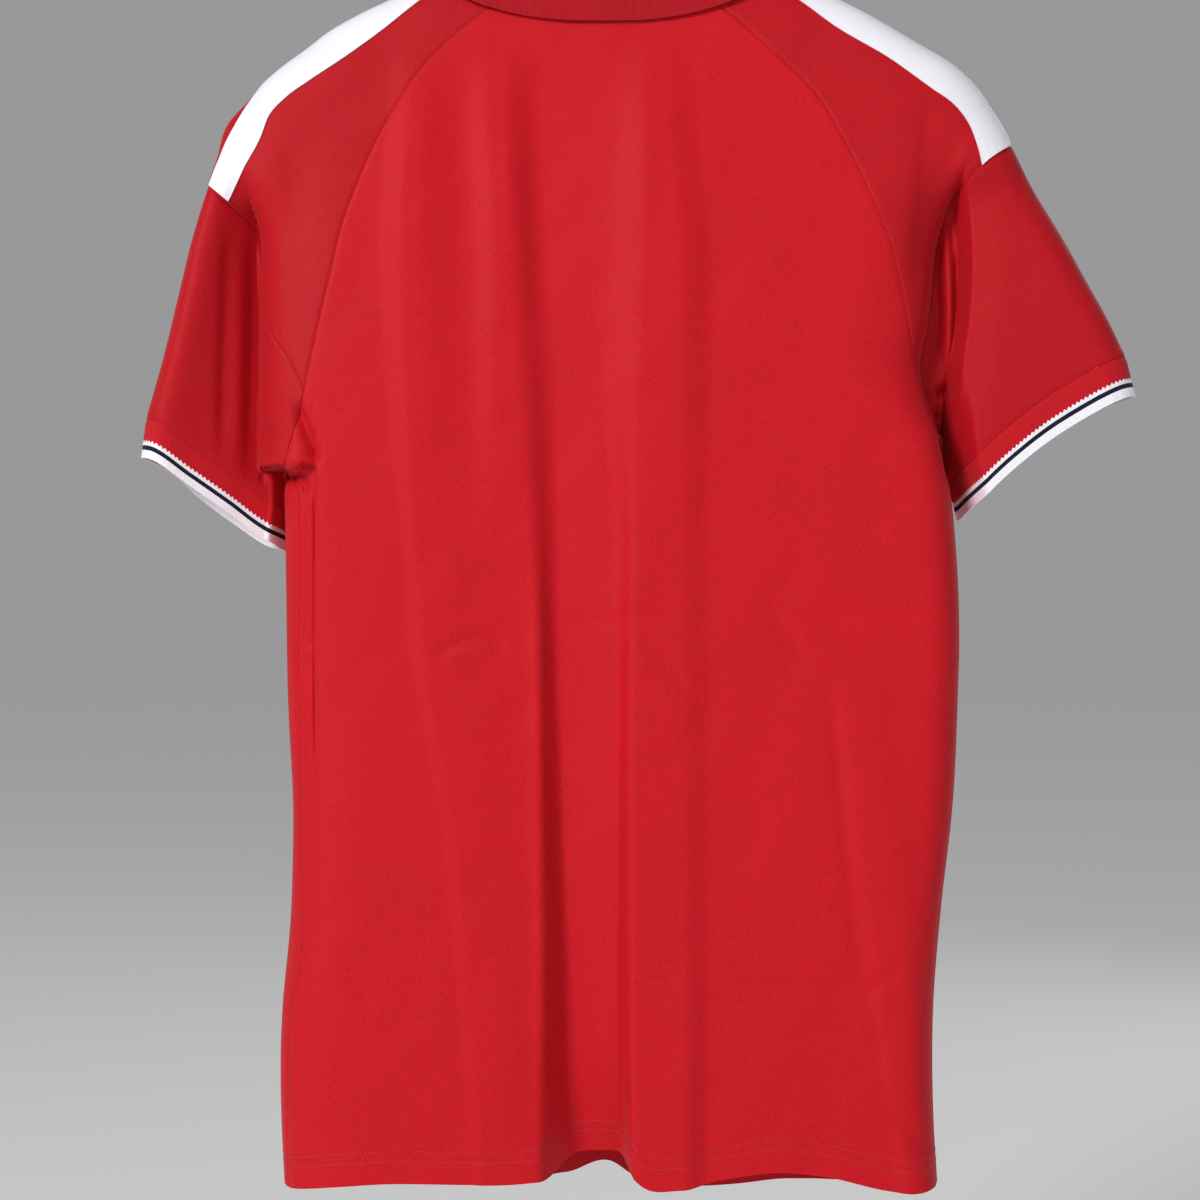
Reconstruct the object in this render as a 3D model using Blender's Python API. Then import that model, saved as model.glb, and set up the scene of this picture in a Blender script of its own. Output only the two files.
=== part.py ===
"""Short-sleeved football jersey on a plain hanger, cut piece by cut piece, as closed cloth walls.

Frame: +Z up, +X to the wearer's right, the wearer's back faces -Y. The origin is the inner top of
the hanger's hook. Heights are given as the drop below the neck end of the shoulder line.
"""

import math

import bpy
import numpy as np

# Sizes in millimetres.
WALL = 1.2
SEAM_GAP = 0.3
STRIPE_WALL = 1.0
HOOK_TO_SHOULDER = 115.0
FULLNESS = 3.0
SIDE_ROUND = 110.0
ARM_FULLNESS = 2.2
CUFF_HEIGHT = 23.0

# Grid counts of the cut pieces.
RAGLAN_ROWS = 13
ARMHOLE_ROWS = 3
SIDE_ROWS = 17
SHOULDER_COLUMNS = (6, 3, 3, 8)
SLEEVE_ROWS = 8
CUFF_ROWS = 2
COLLAR_COLUMNS = 44

# Shoulder line and outer fold of each sleeve: drop, x.
RIDGE = {
    "left": [(0, -91), (23, -124), (36, -150), (45, -166), (58, -183), (70, -199), (80, -210), (90, -219),
             (101, -229), (125, -237), (139, -242), (172, -252), (209, -261), (246, -270), (284, -281)],
    "right": [(0, 89), (23, 140), (36, 165), (51, 190), (64, 212), (81, 231), (93, 239), (104, 246),
              (116, 252), (147, 269), (172, 284), (197, 298), (222, 312), (246, 324)],
}
SHOULDER_END = {"left": 139.0, "right": 116.0}
CUFF_OUTER = {"left": 284.0, "right": 246.0}

# Edges of the hanging body: drop, x at the back, x at the front.
BODY_EDGE = {
    "left": [(0, -91, -91), (90, -219, -219), (101, -220, -219), (125, -218, -214), (165, -216, -208),
             (212, -214, -203), (290, -212, -197), (302, -206, -195), (313, -194, -194), (395, -194, -194),
             (457, -193, -193), (530, -189, -189), (581, -191, -191), (643, -196, -196), (700, -197, -197),
             (760, -194, -194)],
    "right": [(0, 89, 89), (93, 239, 239), (104, 236, 238), (125, 226, 232), (149, 214, 224), (178, 206, 214),
              (224, 203, 208), (270, 204, 206), (294, 207, 207), (333, 214, 214), (364, 217, 217),
              (420, 219, 219), (457, 218, 218), (519, 215, 215), (581, 208, 208), (643, 203, 203),
              (705, 203, 203), (760, 206, 206)],
}
# Half depth of the body: drop, back, front.
BODY_DEPTH = [(0, 14, 14), (24, 22, 20), (62, 28, 27), (92, 32, 32), (132, 38, 38), (212, 43, 44),
              (312, 46, 46), (460, 47, 46), (780, 48, 46)]
# Upper sleeve where it hangs beside the body: drop, inner edge x at the back, at the front, half depth.
ARM = {
    "left": [(80, -214, -214, 0), (101, -208, -205, 12), (125, -206, -200, 20), (165, -208, -196, 25),
             (212, -210, -192, 28), (300, -210, -188, 28)],
    "right": [(88, 234, 234, 0), (104, 230, 226, 9), (125, 224, 217, 18), (149, 217, 208, 24),
              (178, 213, 202, 28), (224, 211, 198, 30), (300, 212, 198, 30)],
}

# Seam lines as x, drop.
RAGLAN_BACK = {
    "left": [(-59, 24), (-69, 34), (-87, 49), (-111, 74), (-122, 91), (-136, 116), (-147, 142), (-157, 170),
             (-163, 196), (-171, 230), (-179, 268)],
    "right": [(59, 23), (67, 29), (85, 43), (103, 60), (121, 77), (134, 93), (145, 113), (155, 133),
              (162, 149), (173, 175), (182, 210), (190, 249)],
}
RAGLAN_FRONT = {
    "left": [(-62, 42), (-80, 62), (-101, 90), (-122, 122), (-140, 158), (-155, 196), (-165, 230),
             (-172, 262)],
    "right": [(62, 42), (82, 62), (104, 88), (125, 118), (144, 154), (161, 192), (174, 226), (184, 252)],
}
UPPER_ARM_BACK = {
    "left": [(-179, 268), (-190, 248), (-200, 234), (-206, 220), (-209, 205), (-210, 187), (-212, 170),
             (-221, 158), (-230, 148)],
    "right": [(190, 249), (196, 224), (200, 194), (203, 178), (207, 162), (216, 149), (225, 138), (235, 126)],
}
UPPER_ARM_FRONT = {
    "left": [(-232, 146), (-218, 160), (-208, 190), (-196, 228), (-172, 262)],
    "right": [(240, 124), (227, 140), (214, 170), (202, 210), (184, 252)],
}
# Back edge and front edge of the shoulder stripe: x, drop.
STRIPE_BACK = {
    "left": [(-82, 8), (-109, 26), (-140, 49), (-165, 67), (-181, 79), (-201, 94), (-207, 106), (-214, 125),
             (-230, 148)],
    "right": [(80, 8), (118, 26), (147, 46), (180, 65), (205, 82), (226, 102), (230, 114), (235, 126)],
}
STRIPE_FRONT = {
    "left": [(-86, 5), (-115, 22), (-155, 44), (-188, 67), (-207, 84), (-217, 97), (-224, 116), (-232, 146)],
    "right": [(84, 5), (130, 24), (170, 44), (203, 65), (226, 87), (232, 100), (240, 124)],
}
# Armhole below the upper-arm seam: x, drop at the back, and x, drop, y at the front.
ARMHOLE_BACK = {
    "left": [(-179, 268), (-177, 288), (-179, 305), (-192.5, 314)],
    "right": [(190, 249), (196, 268), (200, 284), (204, 294)],
}
ARMHOLE_FRONT = {
    "left": [(-180, 284, 31), (-189.4, 306, 15)],
    "right": [(193, 270, 31), (204, 287, 12)],
}
# Inner fold of each sleeve, from the underarm point to the cuff seam: x, y, drop.
UNDERARM_FOLD = {
    "left": [(-197.4, -8, 315), (-197.2, 0, 320.5), (-196, 9, 327), (-194.2, 17, 334), (-192, 23, 341)],
    "right": [(209, -14, 299), (214, -6, 306), (217, 0, 314), (217, 4, 322)],
}
# Side seams, from underarm to hem: drop, x.
SIDE_SEAM = {
    "left": [(314, -192.5), (328, -188), (345, -187), (400, -186), (540, -184), (600, -187), (660, -191),
             (752, -190)],
    "right": [(294, 204), (333, 212), (364, 215), (420, 217), (457, 216), (519, 213), (581, 206), (643, 201),
              (705, 201), (750, 204)],
}
HEM_BACK = [(-200, 752), (-167, 747), (-143, 745), (-43, 744), (-33, 743), (-18, 734), (0, 731), (13, 733),
            (21, 743), (47, 748), (72, 743), (106, 739), (137, 742), (171, 750), (186, 752), (210, 750)]
HEM_FRONT = [(-200, 752), (-150, 760), (-79, 768), (-53, 770), (-23, 760), (6, 752), (24, 765), (62, 771),
             (130, 766), (161, 766), (190, 758), (210, 750)]
NECK_FRONT_POINT = (0.0, 105.0)
NECK_BACK_DROP = 32.0

# Standing folds of the back, each a raised (+) or sunk (-) strip between two flanks:
# name, height at drop: [(drop, left flank x, right flank x, height)], flank widths.
BACK_FOLDS = {
    "main recess": ([(90, -43, 24, 0), (215, -37, 22, -5), (335, -34, 20, -11), (455, -32, 19, -18),
                     (600, -29, 17, -28), (750, -24, 16, -42)], 16, 9),
    "crest": ([(90, 24, 50, 0), (215, 22, 59, 2), (455, 19, 74, 4), (635, 17, 68, 5), (750, 16, 66, 6)],
              12, 16),
    "left pleat": ([(100, -134, -85, 0), (143, -130, -80, 3), (443, -103, -50, 4), (750, -76, -35, 4)],
                   8, 34),
    "right pleat": ([(430, 143, 170, 0), (470, 146, 172, 4), (576, 162, 186, 4), (740, 184, 200, 3)],
                    9, 16),
    "side tuck": ([(300, -260, -173, 0), (318, -260, -173, -11), (503, -260, -176, -9),
                   (580, -260, -180, 0)], 8, 8),
}
# Columns of the body panels, at the back and front: steps between the stations, then drop and station x.
# Where the body is narrower than NARROW_BODY the stations draw together.
COLUMN_STATIONS = (
    ((9, 2, 3, 2, 2, 2, 6),
     [(20, -48, -34, 20, 28, 44, 60), (215, -45, -29, 18, 27, 52, 67), (335, -42, -26, 16, 25, 58, 73),
      (455, -40, -24, 15, 24, 66, 82), (600, -36, -22, 13, 21, 62, 79), (770, -31, -17, 12, 19, 58, 74)]),
    ((7, 2, 3, 2, 7), [(20, -40, -18, 16, 36), (770, -36, -14, 12, 32)]),
)
NARROW_BODY = 240.0
FRONT_FOLDS = {
    "centre furrow": ([(130, -30, 26, 0), (300, -28, 24, -5), (520, -26, 22, -9), (770, -24, 20, -14)],
                      22, 18),
    "left drape": ([(120, -128, -86, 0), (200, -122, -80, 4), (770, -98, -60, 6)], 22, 26),
    "right drape": ([(120, 84, 132, 0), (210, 80, 128, 4), (770, 66, 120, 6)], 26, 22),
}

# Cuff seam of each sleeve: share of the way from the underarm to the outer fold, x, drop, back y, front y.
CUFF_SEAM = {
    "left": [(0.0, -192, 341, 23, 23), (0.15, -207, 333, -6, 30), (0.4, -228, 317, -24, 29),
             (0.65, -250, 301, -25, 26), (0.88, -271, 286, -13, 14), (1.0, -281, 284, 0, 0)],
    "right": [(0.0, 217, 322, 4, 4), (0.15, 227, 309, -18, 20), (0.4, 249, 288, -27, 28),
              (0.65, 276, 268, -28, 28), (0.88, 311, 249, -15, 15), (1.0, 324, 246, 0, 0)],
}
CUFF_LEAN = {"left": -3.0, "right": 6.0}

# Collar, from the front point over the shoulder to the centre of the back:
# share of the neck seam, stand height, inward lean, clearance of the free edge from the cloth.
COLLAR = [(0.0, 1.0, 0.0, 2.0), (0.2, 6, 1.5, 2.6), (0.4, 12, 3, 5.0), (0.5, 14, 3.7, 7.0),
          (0.56, 15, 4, 6.6), (0.7, 20, 5, 4.4), (0.85, 26, 6, 3.2), (1.0, 28, 6, 3.4)]
# Free edge of the collar for the left half, as distance from the centre and drop.
COLLAR_EDGE_FRONT = [(46, 150), (63, 118), (82, 80), (96, 46), (104, 27)]
COLLAR_EDGE_RIDGE = 11.0
COLLAR_EDGE_BACK = [(100, 19), (78, 31), (59, 37), (45, 40), (29, 42), (0, 43)]
COLLAR_ROLL = 2.6
COLLAR_LAP = 1.9
COLLAR_SEAT = 1.25

HANGER_TIP = {"left": -212.0, "right": 222.0}
HANGER_TOP = -22.0
HANGER_CLEARANCE = 0.7
HANGER_HALF_HEIGHT = 8.0
HANGER_HALF_DEPTH = (6.0, 11.0)
HOOK_RADIUS = 20.0
HOOK_WIRE = 4.0
HOOK_NECK = 35.0
HOOK_BEND = 9.5

SIDES = ("left", "right")
SIGN = {"left": -1.0, "right": 1.0}

COLLECTION = "football_jersey"
# Finish: linear colour, roughness, metallic value.
FINISHES = {
    "knit": ((0.55, 0.016, 0.028), 0.75, 0.0),
    "tape": ((0.80, 0.82, 0.86), 0.7, 0.0),
    "rib": ((0.52, 0.015, 0.026), 0.85, 0.0),
    "hanger": ((0.03, 0.03, 0.032), 0.45, 0.0),
    "steel": ((0.62, 0.62, 0.62), 0.25, 1.0),
}
# Finish of each piece, by the start of its name; every other piece is knit.
FINISH_OF = {"stripe": "tape", "cuff": "rib", "collar": "rib", "hanger_arms": "hanger",
             "hanger_hook": "steel"}


# ---------------------------------------------------------------- curves

def spline(table, t):
    """Hermite curve through the rows of a table whose first column is the parameter."""
    rows = np.asarray(table, float)
    knots, values = rows[:, 0], rows[:, 1:]
    slopes = np.gradient(values, knots, axis=0)
    t = np.clip(np.asarray(t, float), knots[0], knots[-1])
    i = np.clip(np.searchsorted(knots, t, side="right") - 1, 0, len(knots) - 2)
    step = knots[i + 1] - knots[i]
    s = ((t - knots[i]) / step)[..., None]
    step = step[..., None]
    return ((2 * s**3 - 3 * s**2 + 1) * values[i] + (s**3 - 2 * s**2 + s) * step * slopes[i]
            + (3 * s**2 - 2 * s**3) * values[i + 1] + (s**3 - s**2) * step * slopes[i + 1])


def path(points, t):
    """Smooth path through points, t running from 0 to 1 with its length."""
    points = np.asarray(points, float)
    reach = np.concatenate([[0], np.cumsum(np.linalg.norm(np.diff(points, axis=0), axis=1))])
    return spline(np.column_stack([reach / reach[-1], points]), t)


def ease(s):
    """Smooth step from 0 to 1."""
    s = np.clip(s, 0, 1)
    return s * s * (3 - 2 * s)


def arch(f, fullness):
    """Rounded arch over f from 0 to 1, upright at both ends."""
    return np.clip(1 - np.abs(2 * np.clip(f, 0, 1) - 1) ** fullness, 0, 1) ** (1 / fullness)


def side_rounding(inside):
    """Rise from 0 at a side of the body to 1 at SIDE_ROUND inside it."""
    return arch(np.minimum(inside / SIDE_ROUND, 1) / 2, FULLNESS)


def joined(a, b):
    """The larger of two heights, with the valley between them rounded."""
    return 0.5 * (a + b + np.sqrt((a - b) ** 2 + 0.15 * a * b))


# ---------------------------------------------------------------- hanging form

def ridge_x(side, drop):
    return spline(RIDGE[side], drop)[..., 0]


def body_edge(side, drop, face):
    """x of the body's edge on the back (face 0) or front (face 1), never past the shoulder line."""
    edge = spline(BODY_EDGE[side], drop)[..., face]
    sign = SIGN[side]
    inside = np.where(drop < CUFF_OUTER[side], sign * ridge_x(side, drop), 1e9)
    near_neck = np.where(drop < 90, sign * ridge_x(side, drop), sign * edge)
    return sign * np.minimum(near_neck, inside)


def folds(table, x, drop):
    """Sum of the standing folds, each eased in at its left flank and out at its right one."""
    total = np.zeros(np.broadcast(x, drop).shape)
    for rows, left_width, right_width in table.values():
        left, right, height = np.moveaxis(spline(rows, drop), -1, 0)
        total += height * ease((x - left) / left_width + 0.5) * (1 - ease((x - right) / right_width + 0.5))
    return total


def depth(x, drop, face):
    """Distance of the cloth from the plane of the hanger, at the back (face 0) or front (face 1)."""
    x, drop = np.broadcast_arrays(np.asarray(x, float), np.asarray(drop, float))
    left, right = body_edge("left", drop, face), body_edge("right", drop, face)
    fold_table = (BACK_FOLDS, FRONT_FOLDS)[face]
    rounding = side_rounding(x - left) * side_rounding(right - x)
    height = spline(BODY_DEPTH, drop)[..., face] * rounding + folds(fold_table, x, drop) * rounding
    for side in SIDES:
        *inners, arm_depth = np.moveaxis(spline(ARM[side], drop), -1, 0)
        inner = inners[face]
        outer = ridge_x(side, drop)
        arm = arm_depth * arch((x - outer) / (inner - outer), ARM_FULLNESS)
        hanging = (drop > ARM[side][0][0]) & (drop < CUFF_OUTER[side] + 40)
        height = np.where(hanging, joined(height, np.where(hanging, arm, 0)), height)
    return height


def on_cloth(flat, face):
    """3-D points (x, y, drop) of flat points (x, drop) laid on the back or front."""
    flat = np.asarray(flat, float)
    away = (-1.0, 1.0)[face] * depth(flat[..., 0], flat[..., 1], face)
    return np.stack([flat[..., 0], away, flat[..., 1]], axis=-1)


# ---------------------------------------------------------------- seam lines, shared by the pieces they join

def ridge_line(side, v):
    """Shoulder line from the neck to the upper-arm seam."""
    drops = np.linspace(0, SHOULDER_END[side], 400)
    line = np.column_stack([ridge_x(side, drops), drops])
    reach = np.concatenate([[0], np.cumsum(np.linalg.norm(np.diff(line, axis=0), axis=1))])
    drop = np.interp(v, reach / reach[-1], drops)
    return np.column_stack([ridge_x(side, drop), drop])


def raglan(side, face, t):
    return on_cloth(path((RAGLAN_BACK, RAGLAN_FRONT)[face][side], t), face)


def underarm(side):
    return on_cloth(ARMHOLE_BACK[side][-1], 0)


def armhole(side, face, t):
    """From the upper-arm seam down to the underarm point."""
    if face == 0:
        return on_cloth(path(ARMHOLE_BACK[side], t), 0)
    start = raglan(side, 1, np.array([1.0]))[0]
    middle = [(x, y, drop) for x, drop, y in ARMHOLE_FRONT[side]]
    return path([start, *middle, underarm(side)], t)


def upper_arm(side, face, t):
    """From the foot of the raglan seam to the shoulder line, t from 0 to 1."""
    line = (UPPER_ARM_BACK[side], UPPER_ARM_FRONT[side][::-1])[face]
    top = (float(ridge_x(side, SHOULDER_END[side])), SHOULDER_END[side])
    return on_cloth(path([*line, top], t), face)


def side_seam(side, t):
    drops = SIDE_SEAM[side][0][0] + t * (SIDE_SEAM[side][-1][0] - SIDE_SEAM[side][0][0])
    return on_cloth(np.column_stack([spline(SIDE_SEAM[side], drops)[..., 0], drops]), 0)


def back_neck(p):
    left, right = np.array(RAGLAN_BACK["left"][0], float), np.array(RAGLAN_BACK["right"][0], float)
    flat = left + np.asarray(p)[:, None] * (right - left)
    flat[:, 1] += (NECK_BACK_DROP - left[1]) * (1 - (2 * p - 1) ** 2)
    return on_cloth(flat, 0)


def front_neck(p):
    left, right = RAGLAN_FRONT["left"][0], RAGLAN_FRONT["right"][0]
    halves = [np.interp(p, [0, 0.5, 1], [left[i], NECK_FRONT_POINT[i], right[i]]) for i in (0, 1)]
    curve = 4.0 * np.sin(2 * math.pi * np.abs(p - 0.5)) ** 2
    return on_cloth(np.column_stack([halves[0], halves[1] + curve]), 1)


# ---------------------------------------------------------------- pieces as grids of mid-surface points

def share_steps(counts, stops):
    """Values with counts[i] even steps between stops[i] and stops[i + 1]."""
    parts = [np.linspace(a, b, n, endpoint=False) for n, a, b in zip(counts, stops, stops[1:])]
    return np.append(np.concatenate(parts), stops[-1])


def column_angles(drop, face, start, end):
    """Angles of the columns of a body panel at one drop: even steps between its sides and fold flanks."""
    left, right = (float(body_edge(side, drop, face)) for side in SIDES)
    width = right - left
    counts, stations = COLUMN_STATIONS[face]
    places = spline(stations, drop) * min(1.0, width / NARROW_BODY)
    angles = np.arccos(np.clip(1 - 2 * (places - left) / width, -1, 1)) * (1, -1)[face]
    return share_steps(counts, [start, *angles, end])


def fit_edge(grid, edge, axis, end, reach):
    """Moves one edge of a grid onto given points, easing the move out over a share of the piece."""
    grid = np.moveaxis(grid, axis, 0)
    if end:
        grid = grid[::-1]
    fade = (1 - ease(np.linspace(0, 1, len(grid)) / reach))[:, None, None]
    grid = grid + fade * (np.asarray(edge) - grid[0])[None]
    if end:
        grid = grid[::-1]
    return np.moveaxis(grid, 0, axis)


def body_rows(side, face):
    """Edge points of a body panel from neck to hem."""
    rag, arm, low = (np.linspace(0, 1, n + 1) for n in (RAGLAN_ROWS, ARMHOLE_ROWS, SIDE_ROWS))
    return np.concatenate([raglan(side, face, rag), armhole(side, face, arm)[1:], side_seam(side, low)[1:]])


def turn_of(point, face):
    """Angle round the body's section of a point on it, 0 at the left edge, falling across the front."""
    left, right = (float(body_edge(side, point[2], face)) for side in SIDES)
    angle = math.acos(np.clip(1 - 2 * (point[0] - left) / (right - left), -1, 1))
    return angle if point[1] <= 0 else -angle


def smoothed(values):
    """Running mean over five rows."""
    padded = np.pad(np.asarray(values, float), 2, mode="edge")
    return np.convolve(padded, np.array([1, 2, 3, 2, 1]) / 9, mode="valid")


def body_panel(face, hem, neck):
    left, right = body_rows("left", face), body_rows("right", face)
    last = len(left) - 1
    neck_shares = neck_columns(face, left, right)
    grid = np.empty((len(neck_shares), len(left), 3))
    neck_bow = neck(neck_shares)[:, 2] - np.interp(neck_shares, [0, 1], [left[0, 2], right[0, 2]])
    starts = smoothed([turn_of(point, face) for point in left])
    ends = [turn_of(point, face) for point in right]
    ends = smoothed([end - 2 * math.pi if face == 1 and end > 0 else end for end in ends])
    for row in range(len(left)):
        angle = column_angles(0.5 * (left[row, 2] + right[row, 2]), face, starts[row], ends[row])
        shares = (angle - angle[0]) / (angle[-1] - angle[0])
        drop = left[row, 2] + shares * (right[row, 2] - left[row, 2])
        drop = drop + neck_bow * max(0.0, 1 - row / (RAGLAN_ROWS + 1)) ** 1.4
        f = (1 - np.cos(angle)) / 2
        edges = [body_edge(side, drop, face) for side in SIDES]
        x = edges[0] + f * (edges[1] - edges[0])
        low = max(0.0, 1 - (last - row) / 9) ** 1.6
        hem_drop = spline(hem, x)[..., 0]
        drop = drop + low * (hem_drop - np.interp(shares, [0, 1], [hem_drop[0], hem_drop[-1]]))
        at_back = np.sin(angle) >= 0
        away = np.where(at_back, -depth(x, drop, 0), depth(x, drop, 1))
        grid[:, row] = np.column_stack([x, away, drop])
    grid = fit_edge(grid, left, 0, 0, 0.2)
    grid = fit_edge(grid, right, 0, 1, 0.2)
    return fit_edge(grid, neck(neck_shares), 1, 0, 0.12)


def neck_columns(face, left, right):
    """Shares of the neck edge at which the columns of a body panel start."""
    angle = column_angles(left[0, 2], face, turn_of(left[0], face), turn_of(right[0], face))
    x = -np.cos(angle)
    return (x - x[0]) / (x[-1] - x[0])


def shoulder(side):
    """Raglan shoulder piece: columns from the back raglan seam over the ridge to the front one."""
    v = np.linspace(0, 1, RAGLAN_ROWS + 1)
    ridge = ridge_line(side, v)
    stripes = path(STRIPE_BACK[side], v), path(STRIPE_FRONT[side], v)
    raglans = raglan(side, 0, v)[:, [0, 2]], raglan(side, 1, v)[:, [0, 2]]
    stops = [raglans[0], stripes[0], ridge, stripes[1], raglans[1]]
    seams = upper_arm(side, 0, np.linspace(0, 1, 200)), upper_arm(side, 1, np.linspace(0, 1, 200))
    columns = []
    for band, count in enumerate(SHOULDER_COLUMNS):
        face = band // 2
        for step in range(count + (band == 3)):
            share = step / count
            if band in (1, 2):
                share = math.sin(share * math.pi / 2) if band == 1 else 1 - math.cos(share * math.pi / 2)
            flat = stops[band] + share * (stops[band + 1] - stops[band])
            seam = seam_point(seams[face], stops, band, share)
            pull = ease((v - 0.45) / 0.55)[:, None]
            flat = flat + pull * (seam[[0, 2]] - flat[-1])
            columns.append(on_cloth(flat, face))
    grid = np.array(columns)
    grid = fit_edge(grid, raglan(side, 0, v), 0, 0, 0.3)
    return fit_edge(grid, raglan(side, 1, v), 0, 1, 0.3)


def seam_point(seam, stops, band, share):
    """Point of the upper-arm seam where a shoulder column ends."""
    reach = np.concatenate([[0], np.cumsum(np.linalg.norm(np.diff(seam, axis=0), axis=1))])
    face = band // 2
    stripe_end = stops[1][-1] if face == 0 else stops[3][-1]
    at_stripe = np.argmin(np.linalg.norm(seam[:, [0, 2]] - stripe_end, axis=1))
    marks = {0: (0.0, reach[at_stripe]), 1: (reach[at_stripe], reach[-1]),
             2: (reach[-1], reach[at_stripe]), 3: (reach[at_stripe], 0.0)}[band]
    length = marks[0] + share * (marks[1] - marks[0])
    return np.array([np.interp(length, reach, seam[:, i]) for i in range(3)])


def cuff_ring(side, shares_back, shares_front):
    """Ring of points round the cuff seam: underarm, back, outer fold, front."""
    rows = np.asarray(CUFF_SEAM[side], float)
    back = spline(rows[:, [0, 1, 3, 2]], shares_back)
    front = spline(rows[:, [0, 1, 4, 2]], shares_front)
    return np.concatenate([back, front[1:-1]])


def sleeve(side, shoulder_grid):
    """Sleeve rings from the armhole down to the cuff seam; the first index runs round the arm."""
    arm_t = np.linspace(1, 0, ARMHOLE_ROWS + 1)
    back_count = sum(SHOULDER_COLUMNS[:2])
    top_back = np.concatenate([armhole(side, 0, arm_t)[:-1], shoulder_grid[:back_count + 1, -1]])
    top_front = np.concatenate([shoulder_grid[back_count:, -1], armhole(side, 1, arm_t[::-1])[1:]])
    shares = []
    for half in (top_back, top_front[::-1]):
        reach = np.concatenate([[0], np.cumsum(np.linalg.norm(np.diff(half, axis=0), axis=1))])
        shares.append(reach / reach[-1])
    top = np.concatenate([top_back, top_front[1:-1]])
    low = cuff_ring(side, shares[0], shares[1][::-1])
    spread = np.concatenate([shares[0], shares[1][::-1][1:-1]])
    q = np.linspace(0, 1, SLEEVE_ROWS + 1)
    flat = top[:, None] + q[None, :, None] * (low - top)[:, None]
    # The outer fold follows its own line.
    outer_drop = SHOULDER_END[side] + q * (CUFF_OUTER[side] - SHOULDER_END[side])
    bend = ridge_x(side, outer_drop) - (top[len(top_back) - 1, 0] + q * (low[len(top_back) - 1, 0]
                                                                         - top[len(top_back) - 1, 0]))
    flat[..., 0] += bend[None] * (spread[:, None] ** 3)
    rail = path([top[0], *UNDERARM_FOLD[side]], q)
    near_rail = 1 - ease(spread / 0.35)
    flat += near_rail[:, None, None] * (rail - flat[0])[None]
    # Near the underarm the cloth bunches forward and then drops to the cuff.
    late = ease((q - 0.45) / 0.3)[None] - q[None]
    bunch = np.exp(-((spread - 0.3) / 0.22) ** 2)[:, None]
    flat[..., 1] += late * bunch * (low[:, 1] - top[:, 1])[:, None]
    return flat


def cuff(side, sleeve_grid):
    ring = sleeve_grid[:, -1]
    steps = np.linspace(0, 1, CUFF_ROWS + 1)[None, :, None]
    fall = np.array([CUFF_LEAN[side], 0.0, CUFF_HEIGHT])
    return ring[:, None] + steps * fall


def neck_loop(side, shoulder_grid, t):
    """Neck seam from the front point over the shoulder to the centre of the back."""
    half = np.linspace(0.5, 0, 9) if side == "left" else np.linspace(0.5, 1, 9)
    line = np.concatenate([front_neck(half)[:-1], shoulder_grid[::-2, 0], back_neck(half[::-1])[1:]])
    return path(line, t)


def collar_edge(side, t, clearance):
    """Free edge of the collar, lying over the cloth from the front point to the centre of the back."""
    sign = SIGN[side]
    front = on_cloth([(sign * x, drop) for x, drop in COLLAR_EDGE_FRONT], 1)
    back = on_cloth([(sign * x, drop) for x, drop in COLLAR_EDGE_BACK], 0)
    ridge = [[float(ridge_x(side, COLLAR_EDGE_RIDGE)), 0.0, COLLAR_EDGE_RIDGE]]
    line = path(np.concatenate([front, ridge, back]), t)
    near_ridge = np.exp(-np.abs(line[:, 1]) / 8)
    out = np.column_stack([sign * 9 * near_ridge, line[:, 1], -13 * near_ridge])
    out /= np.linalg.norm(out, axis=1)[:, None]
    return line + out * clearance[:, None]


def collar(shoulders):
    """Rows from the neck seam up the stand, over the roll and down to the free edge."""
    t = np.linspace(0, 1, COLLAR_COLUMNS // 2 + 1)
    stand, lean, clearance = np.moveaxis(spline(COLLAR, t), -1, 0)
    up = np.array([0.0, 0.0, -1.0])
    halves = []
    for side in SIDES:
        seam = neck_loop(side, shoulders[side], t)
        inward = np.array([0.0, 2.0]) - seam[:, :2]
        inward /= np.linalg.norm(inward, axis=1)[:, None]
        inward = np.column_stack([inward, np.zeros(len(t))])
        foot = seam + up * COLLAR_SEAT - inward * COLLAR_LAP * (1 - ease(t / 0.15))[:, None]
        top = foot + up * stand[:, None] + inward * lean[:, None]
        roll = np.minimum(COLLAR_ROLL, 0.6 + stand / 6)[:, None]
        over = top - inward * 2 * roll
        edge = collar_edge(side, t, clearance)
        bulge = -inward * 1.2
        stand_middle = 0.5 * (foot + top) + 0.15 * lean[:, None] * inward
        crown = top - inward * roll + up * 0.9 * roll
        fall = [over + share * (edge - over) + bulge for share in (0.33, 0.66)]
        halves.append(np.array([foot, stand_middle, top, crown, over, *fall, edge]))
    left, right = halves
    return np.moveaxis(np.concatenate([left[:, :-1], right[:, ::-1]], axis=1), 0, 1)


# ---------------------------------------------------------------- walls

def grid_normals(grid, closed_loop):
    """Unit normals of a grid of points, from its own neighbours."""
    if closed_loop:
        across = np.roll(grid, -1, axis=0) - np.roll(grid, 1, axis=0)
    else:
        across = np.gradient(grid, axis=0)
    normal = np.cross(across, np.gradient(grid, axis=1))
    return normal / np.maximum(np.linalg.norm(normal, axis=2), 1e-9)[..., None]


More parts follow.
